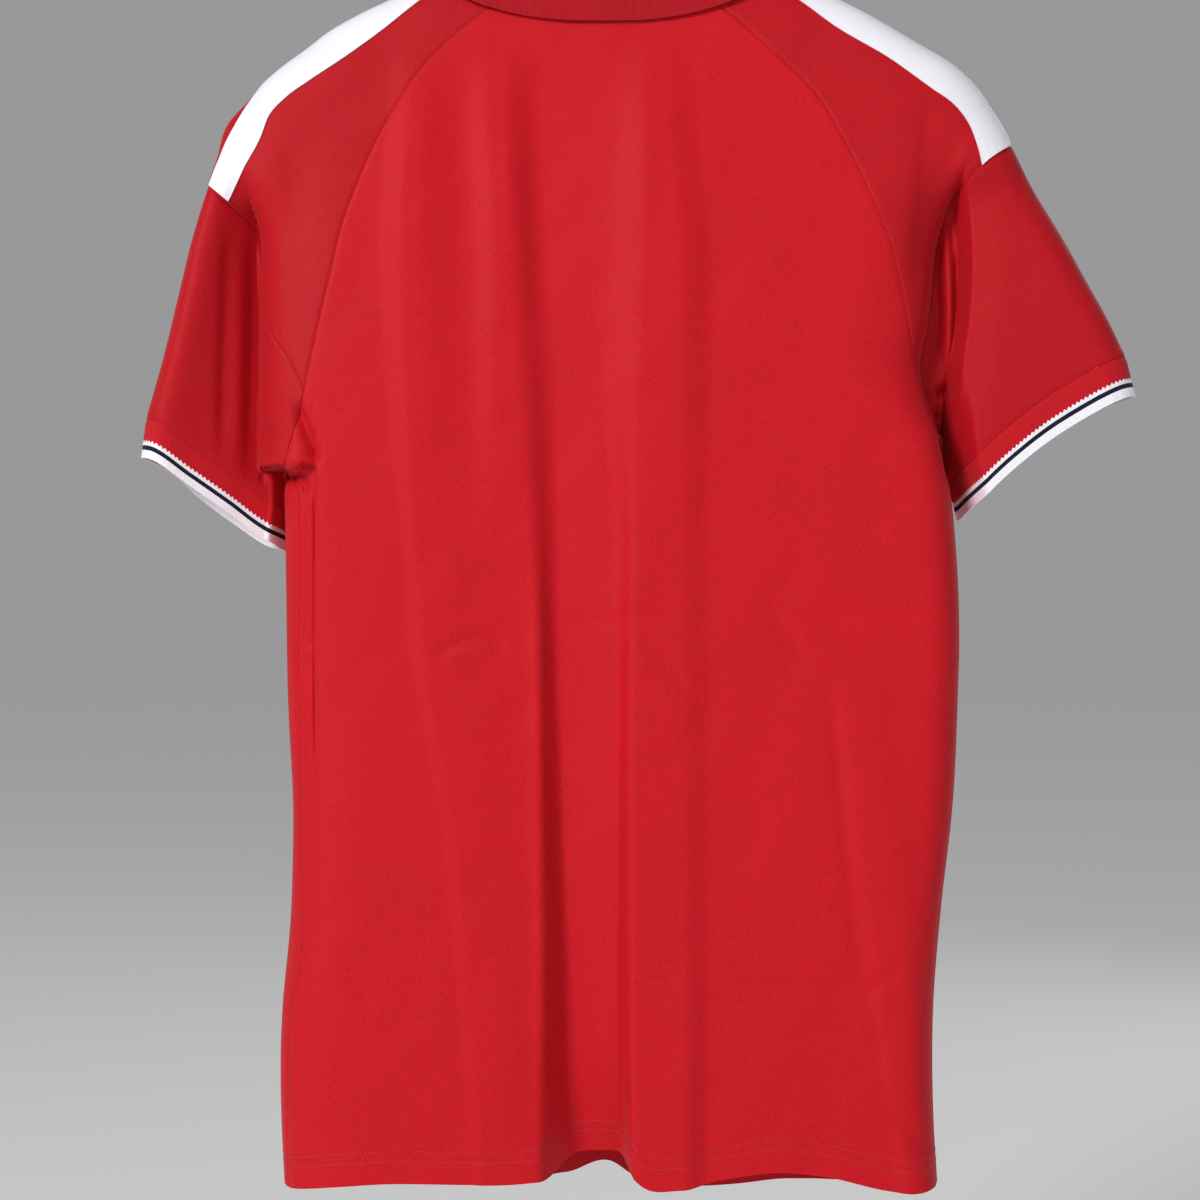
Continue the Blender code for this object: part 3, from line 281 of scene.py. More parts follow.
# Creases and pressed folds as soft troughs (-) and ridges (+), in millimetres: the line that each follows
# as x, drop; its height; and its width on the left and on the right of a line walked downwards, which
# are above and below a line walked from right to left.
BACK_CREASES = {
    "sleeve valley, left": ([(-216, 160), (-216, 212), (-217, 262), (-218, 330)], -5.0, 5.0, 14.0),
    "sleeve plane, left": ([(-229, 156), (-231, 212), (-233, 262), (-234, 318)], -2.5, 3.0, 9.0),
    "shoulder shade, left": ([(-186, 100), (-186, 153), (-187, 208), (-190, 262)], -1.6, 12.0, 16.0),
    "shoulder fold, right": ([(221, 100), (213, 122), (206, 142), (202, 165), (199, 215)], -3.6, 12.0, 8.0),
    "shoulder roll, right": ([(200, 76), (197, 110), (194, 160), (190, 220)], -1.6, 6.0, 10.0),
    "sleeve strip, right": ([(211, 150), (214, 211), (213, 262)], 7.0, 3.5, 3.5),
    "sleeve ridge, right": ([(219, 140), (219.5, 165), (219, 190)], 3.5, 3.0, 3.0),
    "armhole pinch, right": ([(216, 264), (211, 266), (205, 268)], -6.0, 3.0, 4.0),
    "underarm pouch, right": ([(208, 262), (210, 284), (213, 305)], 3.0, 5.0, 4.0),
    "armhole hollow, right": ([(207, 268), (208.5, 284), (210, 302), (211.5, 326)], -9.0, 4.5, 4.0),
    "cuff crease, right": ([(322, 242), (300, 238), (286, 240)], -1.0, 5.0, 3.0),
    "underarm hollow": ([(-213, 317.4), (-196, 318), (-186, 318.6), (-179, 316.6)], -15.0, 4.6, 1.2),
    "flap crease": ([(-183, 274), (-180, 285), (-176, 296), (-172.6, 305), (-171.6, 316)], -6.0, 4.5, 2.4),
    "flap tuck": ([(-200, 288), (-204, 296), (-207, 306)], -5.0, 3.0, 4.0),
    "flap edge roll": ([(-213, 311), (-196, 310.6), (-186, 312), (-176, 309.6)], 2.2, 2.0, 8.0),
    "strip tuck": ([(-180.8, 316), (-180.6, 322), (-180.4, 333)], -3.0, 1.4, 3.5),
    "strip groove": ([(-173.6, 290), (-173.8, 316), (-173.6, 400), (-173, 520)], -1.7, 1.3, 1.3),
    "strip crease": ([(-172.5, 420), (-180, 421)], -1.2, 3.0, 3.0),
    "recess crease": ([(-38, 330), (-37, 485), (-36, 606), (-34, 725)], 1.6, 5.0, 4.0),
    "elbow arc": ([(-55, 432), (-60, 423), (-67, 417), (-78, 418), (-91, 423), (-106, 429)], -1.8, 2.6, 6.0),
    "elbow arc light": ([(-58, 430), (-68, 424), (-80, 425), (-95, 431)], 0.9, 4.0, 4.0),
    "small crease 1": ([(-44, 389.5), (-54, 387.5), (-63, 387)], -0.8, 2.6, 4.0),
    "small crease 2": ([(-44, 351), (-57, 349), (-71, 349)], -0.7, 2.6, 4.0),
    "slant crease, centre": ([(20, 405), (36, 428), (56, 454)], -1.2, 6.0, 2.8),
    "slant crease, right": ([(97, 393), (112, 413), (125, 437)], -1.3, 7.0, 3.0),
    "waist line, left": ([(60, 403), (20, 405), (-26, 408)], -0.6, 3.5, 7.0),
    "waist line, right": ([(209, 401), (170, 404), (100, 404)], -0.5, 3.5, 7.0),
    "hip crease 1": ([(158, 632), (119, 626), (78, 621)], -1.2, 3.0, 5.5),
    "hip crease 2": ([(158, 655), (136, 654), (112, 657)], -1.0, 3.0, 5.5),
    "hip crease 3": ([(180, 617), (165, 626), (156, 636)], -0.9, 3.0, 4.0),
    "hip crease, left": ([(-163, 600), (-150, 620), (-135, 645)], -1.1, 4.0, 7.0),
    "hem dent, right": ([(170, 704), (187, 716), (201, 730)], -2.6, 6.0, 5.0),
    "side line, right": ([(134, 430), (142, 503), (147, 560), (158, 650)], -1.0, 3.0, 9.0),
}
FRONT_CREASES = {
    "front shade, left": ([(-150, 80), (-156, 220), (-150, 380)], -2.2, 14.0, 20.0),
    "front shade, right": ([(148, 80), (156, 240), (150, 400)], -2.4, 18.0, 14.0),
    "front light, left": ([(-60, 180), (-64, 340), (-70, 520)], 1.8, 16.0, 18.0),
    "front light, right": ([(70, 190), (66, 360), (76, 560)], 1.8, 14.0, 22.0),
    "front waist 1": ([(-20, 400), (-60, 396), (-110, 402)], -0.9, 3.0, 6.0),
    "front waist 2": ([(130, 430), (90, 436), (44, 432)], -1.0, 3.0, 6.0),
    "front slant": ([(96, 330), (110, 356), (118, 388)], -1.2, 6.0, 3.0),
    "front hip": ([(-70, 640), (-106, 634), (-150, 640)], -1.1, 3.5, 6.0),
    "front hem": ([(150, 690), (140, 716), (136, 744)], -1.6, 7.0, 5.0),
    "sleeve front fold, left": ([(-214, 150), (-220, 214), (-222, 300)], -5.0, 8.0, 8.0),
    "sleeve front fold, right": ([(228, 140), (232, 200), (234, 290)], -5.0, 8.0, 9.0),
}
# Steps along a crease's line, and the share of it over which the crease fades at each end.
CREASE_STEPS = 32
CREASE_FADE = 0.25
# Height of the knit's slight unevenness, the waves in it by wavelength in x, in drop, and phase, and how
# much longer the beat is that swells and calms each of them.
UNEVEN_HEIGHT = 0.16
UNEVEN_BEAT = 1.7
UNEVENNESS = ((90, 260, 0.4), (54, 190, 2.1), (140, 330, 4.0), (37, 96, 1.3), (61, 71, 5.2))
# Columns of the back: steps between the stations, then drop and station x. Two more stations lie STRIP_BAND
# apart at the strip's edge, and one keeps EDGE_BAND inside the right seam below EDGE_BAND_DROP.
BACK_COLUMNS = (10, 5, 44, 12, 14, 10, 10, 10, 44, 14)
BACK_STATIONS = [(20, -48, -26, 14, 28, 48, 70), (215, -52, -30, 6, 24, 48, 70),
                 (335, -48, -24, 7, 22, 48, 70), (455, -44, -22, 9, 20, 48, 68),
                 (600, -42, -17, 9, 20, 48, 68), (770, -42, -15, 10, 21, 48, 68)]
STRIP_BAND = 4
EDGE_BAND = 26.0
EDGE_BAND_DROP = 240
# Columns of the front: steps between the stations, then drop and station x.
FRONT_COLUMNS = (40, 10, 12, 10, 40)
FRONT_STATIONS = [(20, -40, -18, 16, 36), (770, -36, -14, 12, 32)]
# The stations are drawn together where the body is narrower than this.
NARROW_BODY = 240.0
# Share of the side seam's rows that follow the hem line, and how fast that and the neck's bend fade.
HEM_PULL = 0.5
HEM_POWER = 1.6
NECK_POWER = 1.4
# Shares of a panel over which its neck edge and its sides are fitted to their seams.
NECK_FIT = 0.12
SIDE_FIT = 0.2
SIDE_FIT_NEAR = 0.05
SHOULDER_FIT = 0.3

# Cuff seam of each sleeve: share of the way from the underarm to the outer fold, x, drop, back y, front y.
CUFF_SEAM = {
    "left": [(0.0, -192, 341, 23, 23), (0.15, -207, 333, -6, 30), (0.4, -228, 317, -24, 29),
             (0.65, -250, 301, -25, 26), (0.88, -271, 286, -13, 14), (1.0, -281, 284, 0, 0)],
    "right": [(0.0, 217, 322, 4, 4), (0.15, 227, 309, -18, 20), (0.4, 249, 288, -27, 28),
              (0.65, 276, 268, -28, 28), (0.88, 311, 249, -15, 15), (1.0, 324, 246, 0, 0)],
}
# Place on the cuff seam of each place on the armhole and upper-arm seams, as shares from the underarm.
CUFF_SHARE = {"left": [(0, 0), (0.3, 0.08), (0.52, 0.17), (0.75, 0.55), (1, 1)],
              "right": [(0, 0), (0.3, 0.02), (0.6, 0.10), (0.8, 0.45), (1, 1)]}
# The fold beside the body on each sleeve, from the upper-arm seam down: x, drop.
SLEEVE_FOLD = {"left": [(-209, 208), (-210.4, 262), (-210.6, 297), (-211, 316)],
               "right": [(207, 162), (216, 186), (220, 212), (217, 253), (214.5, 290)]}
# Shares of the way round a sleeve over which the inner fold's line and its tuck fade out, and of what is
# left beyond the fold beside the body over which that one does.
SLEEVE_RAIL = 0.3
SLEEVE_TUCK = 0.16
SLEEVE_FOLD_REACH = 0.8
# Shares of the way down over which the front leaves the armhole's form, and the right one's back the body's.
FRONT_LEAVES = 0.4
BACK_LEAVES = 0.3
# Share of the shoulder piece, from the neck, where its columns start to turn to their places on the
# upper-arm seam.
SHOULDER_TURN = 0.45

# Collar, from the front point over the shoulder to the centre of the back:
# share of the neck seam, stand height, inward lean, clearance of the free edge from the cloth.
COLLAR = [(0.0, 1.0, 0.0, 2.0), (0.2, 6, 1.5, 2.6), (0.4, 12, 3, 5.0), (0.5, 14, 3.7, 7.0),
          (0.56, 15, 4, 6.6), (0.7, 20, 5, 4.4), (0.85, 26, 6, 3.2), (1.0, 28, 6, 3.4)]
# The collar's free edge on each side: x outwards and drop in front and at the back, and its drop between
# them on the shoulder line.
COLLAR_EDGE_FRONT = [(46, 150), (63, 118), (82, 80), (96, 46), (104, 27)]
COLLAR_EDGE_RIDGE = 11.0
COLLAR_EDGE_BACK = [(100, 19), (78, 31), (59, 37), (45, 40), (29, 42), (0, 43)]
# Half width of the roll: its most, its least, and the stand height for each millimetre more; and how high
# its crown is for its half width.
COLLAR_ROLL = 2.6
COLLAR_ROLL_LEAST = 0.6
COLLAR_ROLL_RISE = 6
COLLAR_CROWN = 0.9
# How far the collar's foot lies outside the neck seam at the front point, the share of the collar over which
# that fades, and its height above the seam; how the stand bows with its lean; and the fall's bulge at two
# shares of it.
COLLAR_LAP = 1.9
COLLAR_CLOSE = 0.15
COLLAR_SEAT = 1.25
COLLAR_STAND_BOW = 0.15
COLLAR_BULGE = 1.2
COLLAR_FALL_KNOTS = (0.33, 0.66)
# Lift of the free edge at the shoulder line, outwards and upwards, and the distance over which it fades.
COLLAR_EDGE_OUT = (9, 13)
COLLAR_EDGE_TURN = 8
# Point that the collar leans to, as x, y; the rows of its profile; and its thickness.
NECK_MIDDLE = (0.0, 2.0)
COLLAR_ROWS = 64
COLLAR_KNIT = 1.1

# Rows of stitching above the hem, and the beads of thread in them, which lie STITCH_LIFT above the cloth.
HEM_ROWS = (13.5, 19.5)
STITCH_PITCH = 2.6
STITCH_LENGTH = 1.9
STITCH_WIDTH = 0.5
STITCH_HEIGHT = 0.3
STITCH_LIFT = 0.08
# Rings of a bead: place along it and share of its section.
STITCH_FORM = ((-0.5, 0.15), (-0.36, 1.0), (0.36, 1.0), (0.5, 0.15))
STITCH_SIDES = 6

# Width of the teeth of the cuff's upper white course, and the distances below the cuff seam where the teeth
# reach to, where the navy course starts and where the white roll starts.
CUFF_RIB = 3.0
CUFF_BANDS = (12.6, 15.9, 18.7)

# The bar's tips in x, its crest in the middle as a drop, half the width of its part under the neck, and how
# far it lies below the shoulder lines.
HANGER_TIP = {"left": -212.0, "right": 222.0}
HANGER_TOP = -22.0
HANGER_UNDER_NECK = 84
HANGER_DROP = 1.3
HANGER_HALF_HEIGHT = 8.0
# Half depth of the bar in the middle and at HANGER_WIDEST from it, and the length of its rounded tips.
HANGER_HALF_DEPTH = (6.0, 11.0)
HANGER_WIDEST = 215
HANGER_TIP_ROUND = 9
# Where the crest under the neck would reach the shoulder lines, as x and drop, and the power of its curve.
HANGER_SHOULDER = (92, 2.0)
HANGER_CREST = 1.6
HANGER_STEPS = 60
HANGER_SIDES = 32
# The hook's radius along its wire, the wire's diameter, the height of its neck below the hook's middle, the
# reach of the bend into it, the angles that the hook starts and ends at, and its stem's depth in the bar.
HOOK_RADIUS = 20.0
HOOK_WIRE = 4.0
HOOK_NECK = 35.0
HOOK_BEND = 9.5
HOOK_TURN = (200, -50)
HOOK_SINK = 0.78
# Points along its arc and its bend, and round its wire.
HOOK_STEPS = (90, 30)
HOOK_SIDES = 20
# Square of the least share of a tube's section, at its rounded end.
END_LEAST_SQUARED = 0.02

# ---------------------------------------------------------------- sizes, in metres

# Height and half width of the floor.
FLOOR_HEIGHT = -1.22
FLOOR_REACH = 30
# Lights: name, place, aim, power in watts, width and height.
STUDIO_LIGHTS = (
    ("key", (-2.9, -4.0, 1.7), (0, 0, -0.45), 204.0, (1.4, 1.4)),
    ("fill", (2.6, -4.2, 0.4), (0, 0, -0.5), 24.0, (1.6, 1.6)),
    ("far side", (1.8, 2.6, 0.6), (0, 0, -0.5), 9.0, (1.2, 1.2)),
)
WORLD_LIGHT = 0.35
CAMERA_PLACE = (-0.001, -1.548, -0.510)
CAMERA_LENS = 75
CAMERA_SENSOR = 36


# ---------------------------------------------------------------- curves

def spline(table, t):
    """Hermite curve through the rows of a table whose first column is the parameter."""
    rows = np.asarray(table, float)
    knots, values = rows[:, 0], rows[:, 1:]
    slopes = np.gradient(values, knots, axis=0)
    t = np.clip(np.asarray(t, float), knots[0], knots[-1])
    i = np.clip(np.searchsorted(knots, t, side="right") - 1, 0, len(knots) - 2)
    step = knots[i + 1] - knots[i]
    s = ((t - knots[i]) / step)[..., None]
    step = step[..., None]
    return ((2 * s**3 - 3 * s**2 + 1) * values[i] + (s**3 - 2 * s**2 + s) * step * slopes[i]
            + (3 * s**2 - 2 * s**3) * values[i + 1] + (s**3 - s**2) * step * slopes[i + 1])


def reach_along(points):
    """Distance of each point from the first one along its line; lines of points run down the first axis."""
    steps = np.linalg.norm(np.diff(points, axis=0), axis=-1)
    return np.concatenate([np.zeros_like(steps[:1]), np.cumsum(steps, axis=0)])


def at_reach(points, reach, at):
    """The points at some distances along a line of points whose own distances are reach."""
    return np.stack([np.interp(at, reach, values) for values in points.T], axis=-1)


def path(points, t):
    """Smooth path through points, t running from 0 to 1 with its length."""
    points = np.asarray(points, float)
    reach = reach_along(points)
    return spline(np.column_stack([reach / reach[-1], points]), t)


def ease(s):
    """Smooth step from 0 to 1."""
    s = np.clip(s, 0, 1)
    return s * s * (3 - 2 * s)


def between(value, start, end):
    """Smooth step from 0 at the start to 1 at the end."""
    return ease((value - start) / (end - start))


def arch(f, fullness):
    """Rounded arch over f from 0 to 1, upright at both ends."""
    return np.clip(1 - np.abs(2 * np.clip(f, 0, 1) - 1) ** fullness, 0, 1) ** (1 / fullness)


def unit(vectors):
    """Vectors divided by their lengths."""
    return vectors / np.maximum(np.linalg.norm(vectors, axis=-1, keepdims=True), 1e-9)


# ---------------------------------------------------------------- hanging form

def side_rounding(inside, radius=SIDE_ROUND):
    """Rise from 0 at a side of the body to 1 at a radius inside it."""
    return arch(np.minimum(inside / radius, 1) / 2, FULLNESS)


def joined(a, b):
    """The larger of two heights, with the valley between them rounded."""
    return 0.5 * (a + b + np.sqrt((a - b) ** 2 + VALLEY_ROUND * a * b))


def ridge_x(side, drop):
    """x of the shoulder line, and of the sleeve's outer fold below it."""
    return spline(RIDGE[side], drop)[..., 0]


def body_edge(side, drop, face):
    """x of the body's edge on the back (face 0) or front (face 1), never past the shoulder line."""
    edge = spline(BODY_EDGE[side][face], drop)[..., 0]
    sign = SIGN[side]
    inside = np.where(drop < CUFF_OUTER[side], sign * ridge_x(side, drop), 1e9)
    near_neck = np.where(drop < NECK_EDGE, sign * ridge_x(side, drop), sign * edge)
    return sign * np.minimum(near_neck, inside)


def folds(table, x, drop):
    """Sum of the standing folds, each eased in at its left flank and out at its right one, its height
    running evenly from the left to the right."""
    total = np.zeros(np.broadcast(x, drop).shape)
    for rows in table.values():
        left, right, first, last, left_width, right_width = np.moveaxis(spline(rows, drop), -1, 0)
        height = first + (last - first) * np.clip((x - left) / (right - left), 0, 1)
        total += height * ease((x - left) / left_width + 0.5) * (1 - ease((x - right) / right_width + 0.5))
    return total


def crease_height(flat, points, height, left_width, right_width):
    """Height of one crease at flat points: a bell curve of the distance from its line, with a width for
    each side of the line, fading out over a share of the line at both ends."""
    line = path(points, np.linspace(0, 1, CREASE_STEPS + 1))
    reach = 3 * max(left_width, right_width)
    inside = (flat > line.min(axis=0) - reach) & (flat < line.max(axis=0) + reach)
    near = np.flatnonzero(np.all(inside, axis=1))
    apart = flat[near][:, None] - line
    closest = np.argmin(np.sum(apart**2, axis=2), axis=1)
    along = unit(np.gradient(line, axis=0))[closest]
    gap = np.take_along_axis(apart, closest[:, None, None], axis=1)[:, 0]
    at = (closest + np.sum(gap * along, axis=1) / np.linalg.norm(line[1] - line[0])) / CREASE_STEPS
    side = along[:, 0] * gap[:, 1] - along[:, 1] * gap[:, 0]
    width = np.where(side > 0, left_width, right_width)
    fade = ease(at / CREASE_FADE) * ease((1 - at) / CREASE_FADE)
    return near, height * np.exp(-(side / width) ** 2) * fade


def relief(x, drop, face):
    """Height of the creases and of the knit's unevenness: the sum of a few slow waves."""
    flat = np.column_stack([x.ravel(), drop.ravel()])
    total = np.zeros(len(flat))
    for points, *shape in (BACK_CREASES, FRONT_CREASES)[face].values():
        near, height = crease_height(flat, points, *shape)
        total[near] += height
    for across, down, phase in UNEVENNESS:
        turn = 2 * math.pi * (flat[:, 0] / across + flat[:, 1] / down) + phase + 2 * face
        beat = 2 * math.pi * flat[:, 1] / (down * UNEVEN_BEAT) + 2 * phase
        total += UNEVEN_HEIGHT * np.sin(turn) * np.sin(beat)
    return total.reshape(x.shape)


def below_shelf(x, drop):
    """0 above the lower edge of the fold over the left underarm, 1 below it."""
    return ease((drop - spline(SHELF, x)[..., 0]) / SHELF_STEP)


def body_height(x, drop, face):
    """Height of the body alone: its rounded section with the standing folds and creases. At the back the
    section parts at the shelf into the fold above it and the strip below."""
    narrower = (1 - face) * between(drop, *BACK_ROUND_DROPS)
    radius = SIDE_ROUND + narrower * (BACK_ROUND_RIGHT - SIDE_ROUND)
    right = side_rounding(body_edge("right", drop, face) - x, radius)
    left = side_rounding(x - body_edge("left", drop, 1))
    sunk = 0.0
    if face == 0:
        low = below_shelf(x, drop)
        strip = 1 - ease((x - STRIP_EDGE) / STRIP_STEP + 1)
        own_side = strip * low + (1 - strip) * between(drop, *STRIP_END_DROPS)
        left = left + (1 - own_side) * (side_rounding(x - body_edge("left", drop, 0)) - left)
        sunk = strip * spline(STRIP_HEIGHT, drop)[..., 0] * (STRIP_ABOVE + (1 - STRIP_ABOVE) * low)
    rounding = left * right
    standing = folds((BACK_FOLDS, FRONT_FOLDS)[face], x, drop) - sunk
    return spline(BODY_DEPTH, drop)[..., face] * rounding + standing * ease(rounding / FOLD_RISE)


def arm_height(side, x, drop, face):
    """Height of a sleeve: rounded at its outer fold. At the back the left one falls off towards the body
    and the right one drops over a flank into the valley beside the body."""
    *inners, arm_depth = np.moveaxis(spline(ARM[side], drop), -1, 0)
    outer = ridge_x(side, drop)
    across = (x - outer) / (inners[face] - outer)
    if face == 1:
        return arm_depth * arch(across, ARM_FULLNESS)
    rise = arch(np.clip(SIGN[side] * (outer - x) / ARM_ROUND, 0, 1) / 2, ARM_FULLNESS)
    if side == "left":
        start, end = SLEEVE_FALL
        return arm_depth * rise * (1 - np.clip((across - start) / (end - start), 0, 1))
    past_top = x - spline(VALLEY_RIGHT, drop)[..., 0]
    flank, slope = ease(past_top / VALLEY_FLANK + 1), ease(past_top / VALLEY_SLOPE + SLOPE_LEAD)
    return rise * (VALLEY_DEPTH + (arm_depth - VALLEY_DEPTH) * (flank + SLOPE_SHARE * (slope - flank)))


def depth(x, drop, face):
    """Distance of the cloth from the plane of the hanger: one round section from shoulder to shoulder at
    the top, parting lower down into the body and the two sleeves, with the creases on all of them."""
    x, drop = np.broadcast_arrays(np.asarray(x, float), np.asarray(drop, float))
    height = body_height(x, drop, face)
    whole = spline(BODY_DEPTH, drop)[..., face]
    for side in SIDES:
        sign = SIGN[side]
        outer = ridge_x(side, drop)
        beside = ease(sign * (x - body_edge(side, drop, face)) / EDGE_STEP + 1)
        arm = arm_height(side, x, drop, face) * beside * (drop > ARM[side][0][0])
        apart = joined(height, arm)
        together = np.maximum(height, whole * side_rounding(sign * (outer - x)))
        parted = between(drop, *PARTING[side])
        here = (sign * x > SLEEVES_BEYOND) & (drop < CUFF_OUTER[side] + SLEEVES_BELOW)
        height = np.where(here, together + parted * (apart - together), height)
    return height + relief(x, drop, face) * ease(height / CREASE_RISE)


def body_surface(x, drop, face):
    """Height of a body panel, which never takes in the sleeves."""
    height = body_height(x, drop, face)
    return height + relief(x, drop, face) * ease(height / CREASE_RISE)


def on_cloth(flat, face):
    """Space points of flat points laid on the back or front."""
    flat = np.asarray(flat, float)
    away = (-1.0, 1.0)[face] * depth(flat[..., 0], flat[..., 1], face)
    return np.stack([flat[..., 0], away, flat[..., 1]], axis=-1)


# ---------------------------------------------------------------- seam lines, shared by the pieces they join

def ridge_line(side, v):
    """Shoulder line from the neck to the upper-arm seam."""
    drops = np.linspace(0, SHOULDER_END[side], SEAM_STEPS)
    reach = reach_along(np.column_stack([ridge_x(side, drops), drops]))
    drop = np.interp(v, reach / reach[-1], drops)
    return np.column_stack([ridge_x(side, drop), drop])


def raglan(side, face, t):
    """Raglan seam from the neck to the upper-arm seam: its flat line laid on the cloth."""
    return on_cloth(path((RAGLAN_BACK, RAGLAN_FRONT)[face][side], t), face)


def underarm(side):
    """Point where the armhole, the side seam and the sleeve's inner fold meet."""
    return on_cloth(ARMHOLE_BACK[side][-1], 0)


def armhole(side, face, t):
    """From the upper-arm seam down to the underarm point."""
    if face == 0:
        return on_cloth(path(ARMHOLE_BACK[side], t), 0)
    start = raglan(side, 1, np.array([1.0]))[0]
    middle = [(x, y, drop) for x, drop, y in ARMHOLE_FRONT[side]]
    return path([start, *middle, underarm(side)], t)


def upper_arm(side, face, t):
    """From the foot of the raglan seam to the shoulder line, t from 0 to 1."""
    line = (UPPER_ARM_BACK, UPPER_ARM_FRONT)[face][side]
    top = (float(ridge_x(side, SHOULDER_END[side])), SHOULDER_END[side])
    return on_cloth(path([*line, top], t), face)


def side_seam(side, t):
    """From the underarm point to the hem, in even drops."""
    first, last = SIDE_SEAM[side][0][0], SIDE_SEAM[side][-1][0]
    drops = first + t * (last - first)
    return on_cloth(np.column_stack([spline(SIDE_SEAM[side], drops)[..., 0], drops]), 0)


def back_neck(p):
    """Neck seam across the back: a parabola from raglan seam to raglan seam."""
    left, right = np.array(RAGLAN_BACK["left"][0], float), np.array(RAGLAN_BACK["right"][0], float)
    flat = left + np.asarray(p)[:, None] * (right - left)
    flat[:, 1] += (NECK_BACK_DROP - left[1]) * (1 - (2 * p - 1) ** 2)
    return on_cloth(flat, 0)


def front_neck(p):
    """Neck seam across the front: two straight lines down to the point, each bowed by a squared sine."""
    left, right = RAGLAN_FRONT["left"][0], RAGLAN_FRONT["right"][0]
    halves = [np.interp(p, [0, 0.5, 1], [left[i], NECK_FRONT_POINT[i], right[i]]) for i in (0, 1)]
    bow = NECK_FRONT_BOW * np.sin(2 * math.pi * np.abs(p - 0.5)) ** 2
    return on_cloth(np.column_stack([halves[0], halves[1] + bow]), 1)


# ---------------------------------------------------------------- cut pieces as grids of points

def from_edge(grid, axis, end):
    """A view of a grid whose lines are counted from the first (end 0) or last edge (end 1) of an axis."""
    lines = np.moveaxis(grid, axis, 0)
    return lines[::-1] if end else lines


def fit_edge(grid, edge, axis, end, reach):
    """Moves one edge of a grid onto given points, easing the move out over a share of the piece."""
    grid = grid.copy()
    lines = from_edge(grid, axis, end)
    fade = 1 - ease(np.linspace(0, 1, len(lines)) / reach)
    lines += fade[:, None, None] * (edge - lines[0])
    return grid


def fit_side(grid, edge, end):
    """Moves a side of the front onto its seam: the move smoothed along the seam reaches far into the piece,
    and the rest of it, where the seam turns sharply at the underarm, fades out close to the seam."""
    side = from_edge(grid, 0, end)[0]
    broad = np.stack([smoothed(values, SEAM_SPREAD) for values in (edge - side).T], axis=-1)
    return fit_edge(fit_edge(grid, side + broad, 0, end, SIDE_FIT), edge, 0, end, SIDE_FIT_NEAR)


def body_rows(side, face):
    """Edge points of a body panel from neck to hem."""
    rag, arm, low = (np.linspace(0, 1, n + 1) for n in (RAGLAN_ROWS, ARMHOLE_ROWS, SIDE_ROWS))
    return np.concatenate([raglan(side, face, rag), armhole(side, face, arm)[1:],
                           side_seam(side, low ** SIDE_ROW_BIAS)[1:]])


def turn_of(points):
    """Angle round the body's section of points on it, 0 at the left edge, falling across the front."""
    left, right = (body_edge(side, points[:, 2], 1) for side in SIDES)
    angle = np.arccos(np.clip(1 - 2 * (points[:, 0] - left) / (right - left), -1, 1))
    return np.where(points[:, 1] <= 0, angle, -angle)


def smoothed(values, spread):
    """Running mean with a triangular weight over 2 * spread + 1 rows."""
    weight = 1.0 + spread - np.abs(np.arange(-spread, spread + 1))
    return np.convolve(np.pad(values, spread, mode="edge"), weight / weight.sum(), mode="valid")


def bands(counts):
    """Band of each column and its share of the way through it, for bands of these numbers of steps."""
    band = np.append(np.repeat(np.arange(len(counts)), counts), len(counts) - 1)
    share = np.append(np.concatenate([np.arange(n) / n for n in counts]), 1.0)
    return band, share


def between_stops(stops, counts):
    """Rows of values in even steps between the stops of each row."""
    band, share = bands(counts)
    return stops[:, band] + share * (stops[:, band + 1] - stops[:, band])


def narrowed(stations, drops, width):
    """The folds' stations at each drop, in a panel of this width there."""
    return spline(stations, drops) * np.minimum(1.0, width / NARROW_BODY)[:, None]


def hem_pull(drop, x, shares, face):
    """Rows of drops with the last ones let down to the hem line."""
    rows = np.arange(len(drop))[:, None]
    low = np.clip(1 - (rows[-1] - rows) / (HEM_PULL * SIDE_ROWS), 0, 1) ** HEM_POWER
    hem_drop = spline(HEM[face], x)[..., 0]
    side_drop = hem_drop[:, :1] + shares * (hem_drop[:, -1:] - hem_drop[:, :1])
    return drop + low * (hem_drop - side_drop)


def neck_pull(drop, neck_drop, shares):
    """Rows of drops with the first ones bent to the neck seam."""
    bow = neck_drop - np.interp(shares[0], [0, 1], [drop[0, 0], drop[0, -1]])
    return drop + bow * np.clip(1 - np.arange(len(drop)) / RAGLAN_ROWS, 0, 1)[:, None] ** NECK_POWER


def back_panel():
    """Back of the body: each row runs from side to side in steps between the folds' stations, and y is the
    body's height there; drops are even between the sides, bent to the neck seam above and to the hem."""
    left, right = body_rows("left", 0), body_rows("right", 0)
    drops = 0.5 * (left[:, 2] + right[:, 2])
    strip = np.maximum(STRIP_EDGE - STRIP_BAND + 1, left[:, 0] + STRIP_BAND + 1)
    stops = np.column_stack([left[:, 0], strip, strip + STRIP_BAND,
                             narrowed(BACK_STATIONS, drops, right[:, 0] - left[:, 0]),
                             right[:, 0] - EDGE_BAND * np.minimum(1.0, drops / EDGE_BAND_DROP), right[:, 0]])
    x = between_stops(stops, BACK_COLUMNS)
    shares = (x - x[:, :1]) / (x[:, -1:] - x[:, :1])
    neck_edge = back_neck(shares[0])
    drop = left[:, 2:] + shares * (right[:, 2:] - left[:, 2:])
    drop = hem_pull(neck_pull(drop, neck_edge[:, 2], shares), x, shares, 0)
    grid = np.stack([x, -body_surface(x, drop, 0), drop], axis=-1).transpose(1, 0, 2)
    return fit_edge(grid, neck_edge, 1, 0, NECK_FIT)


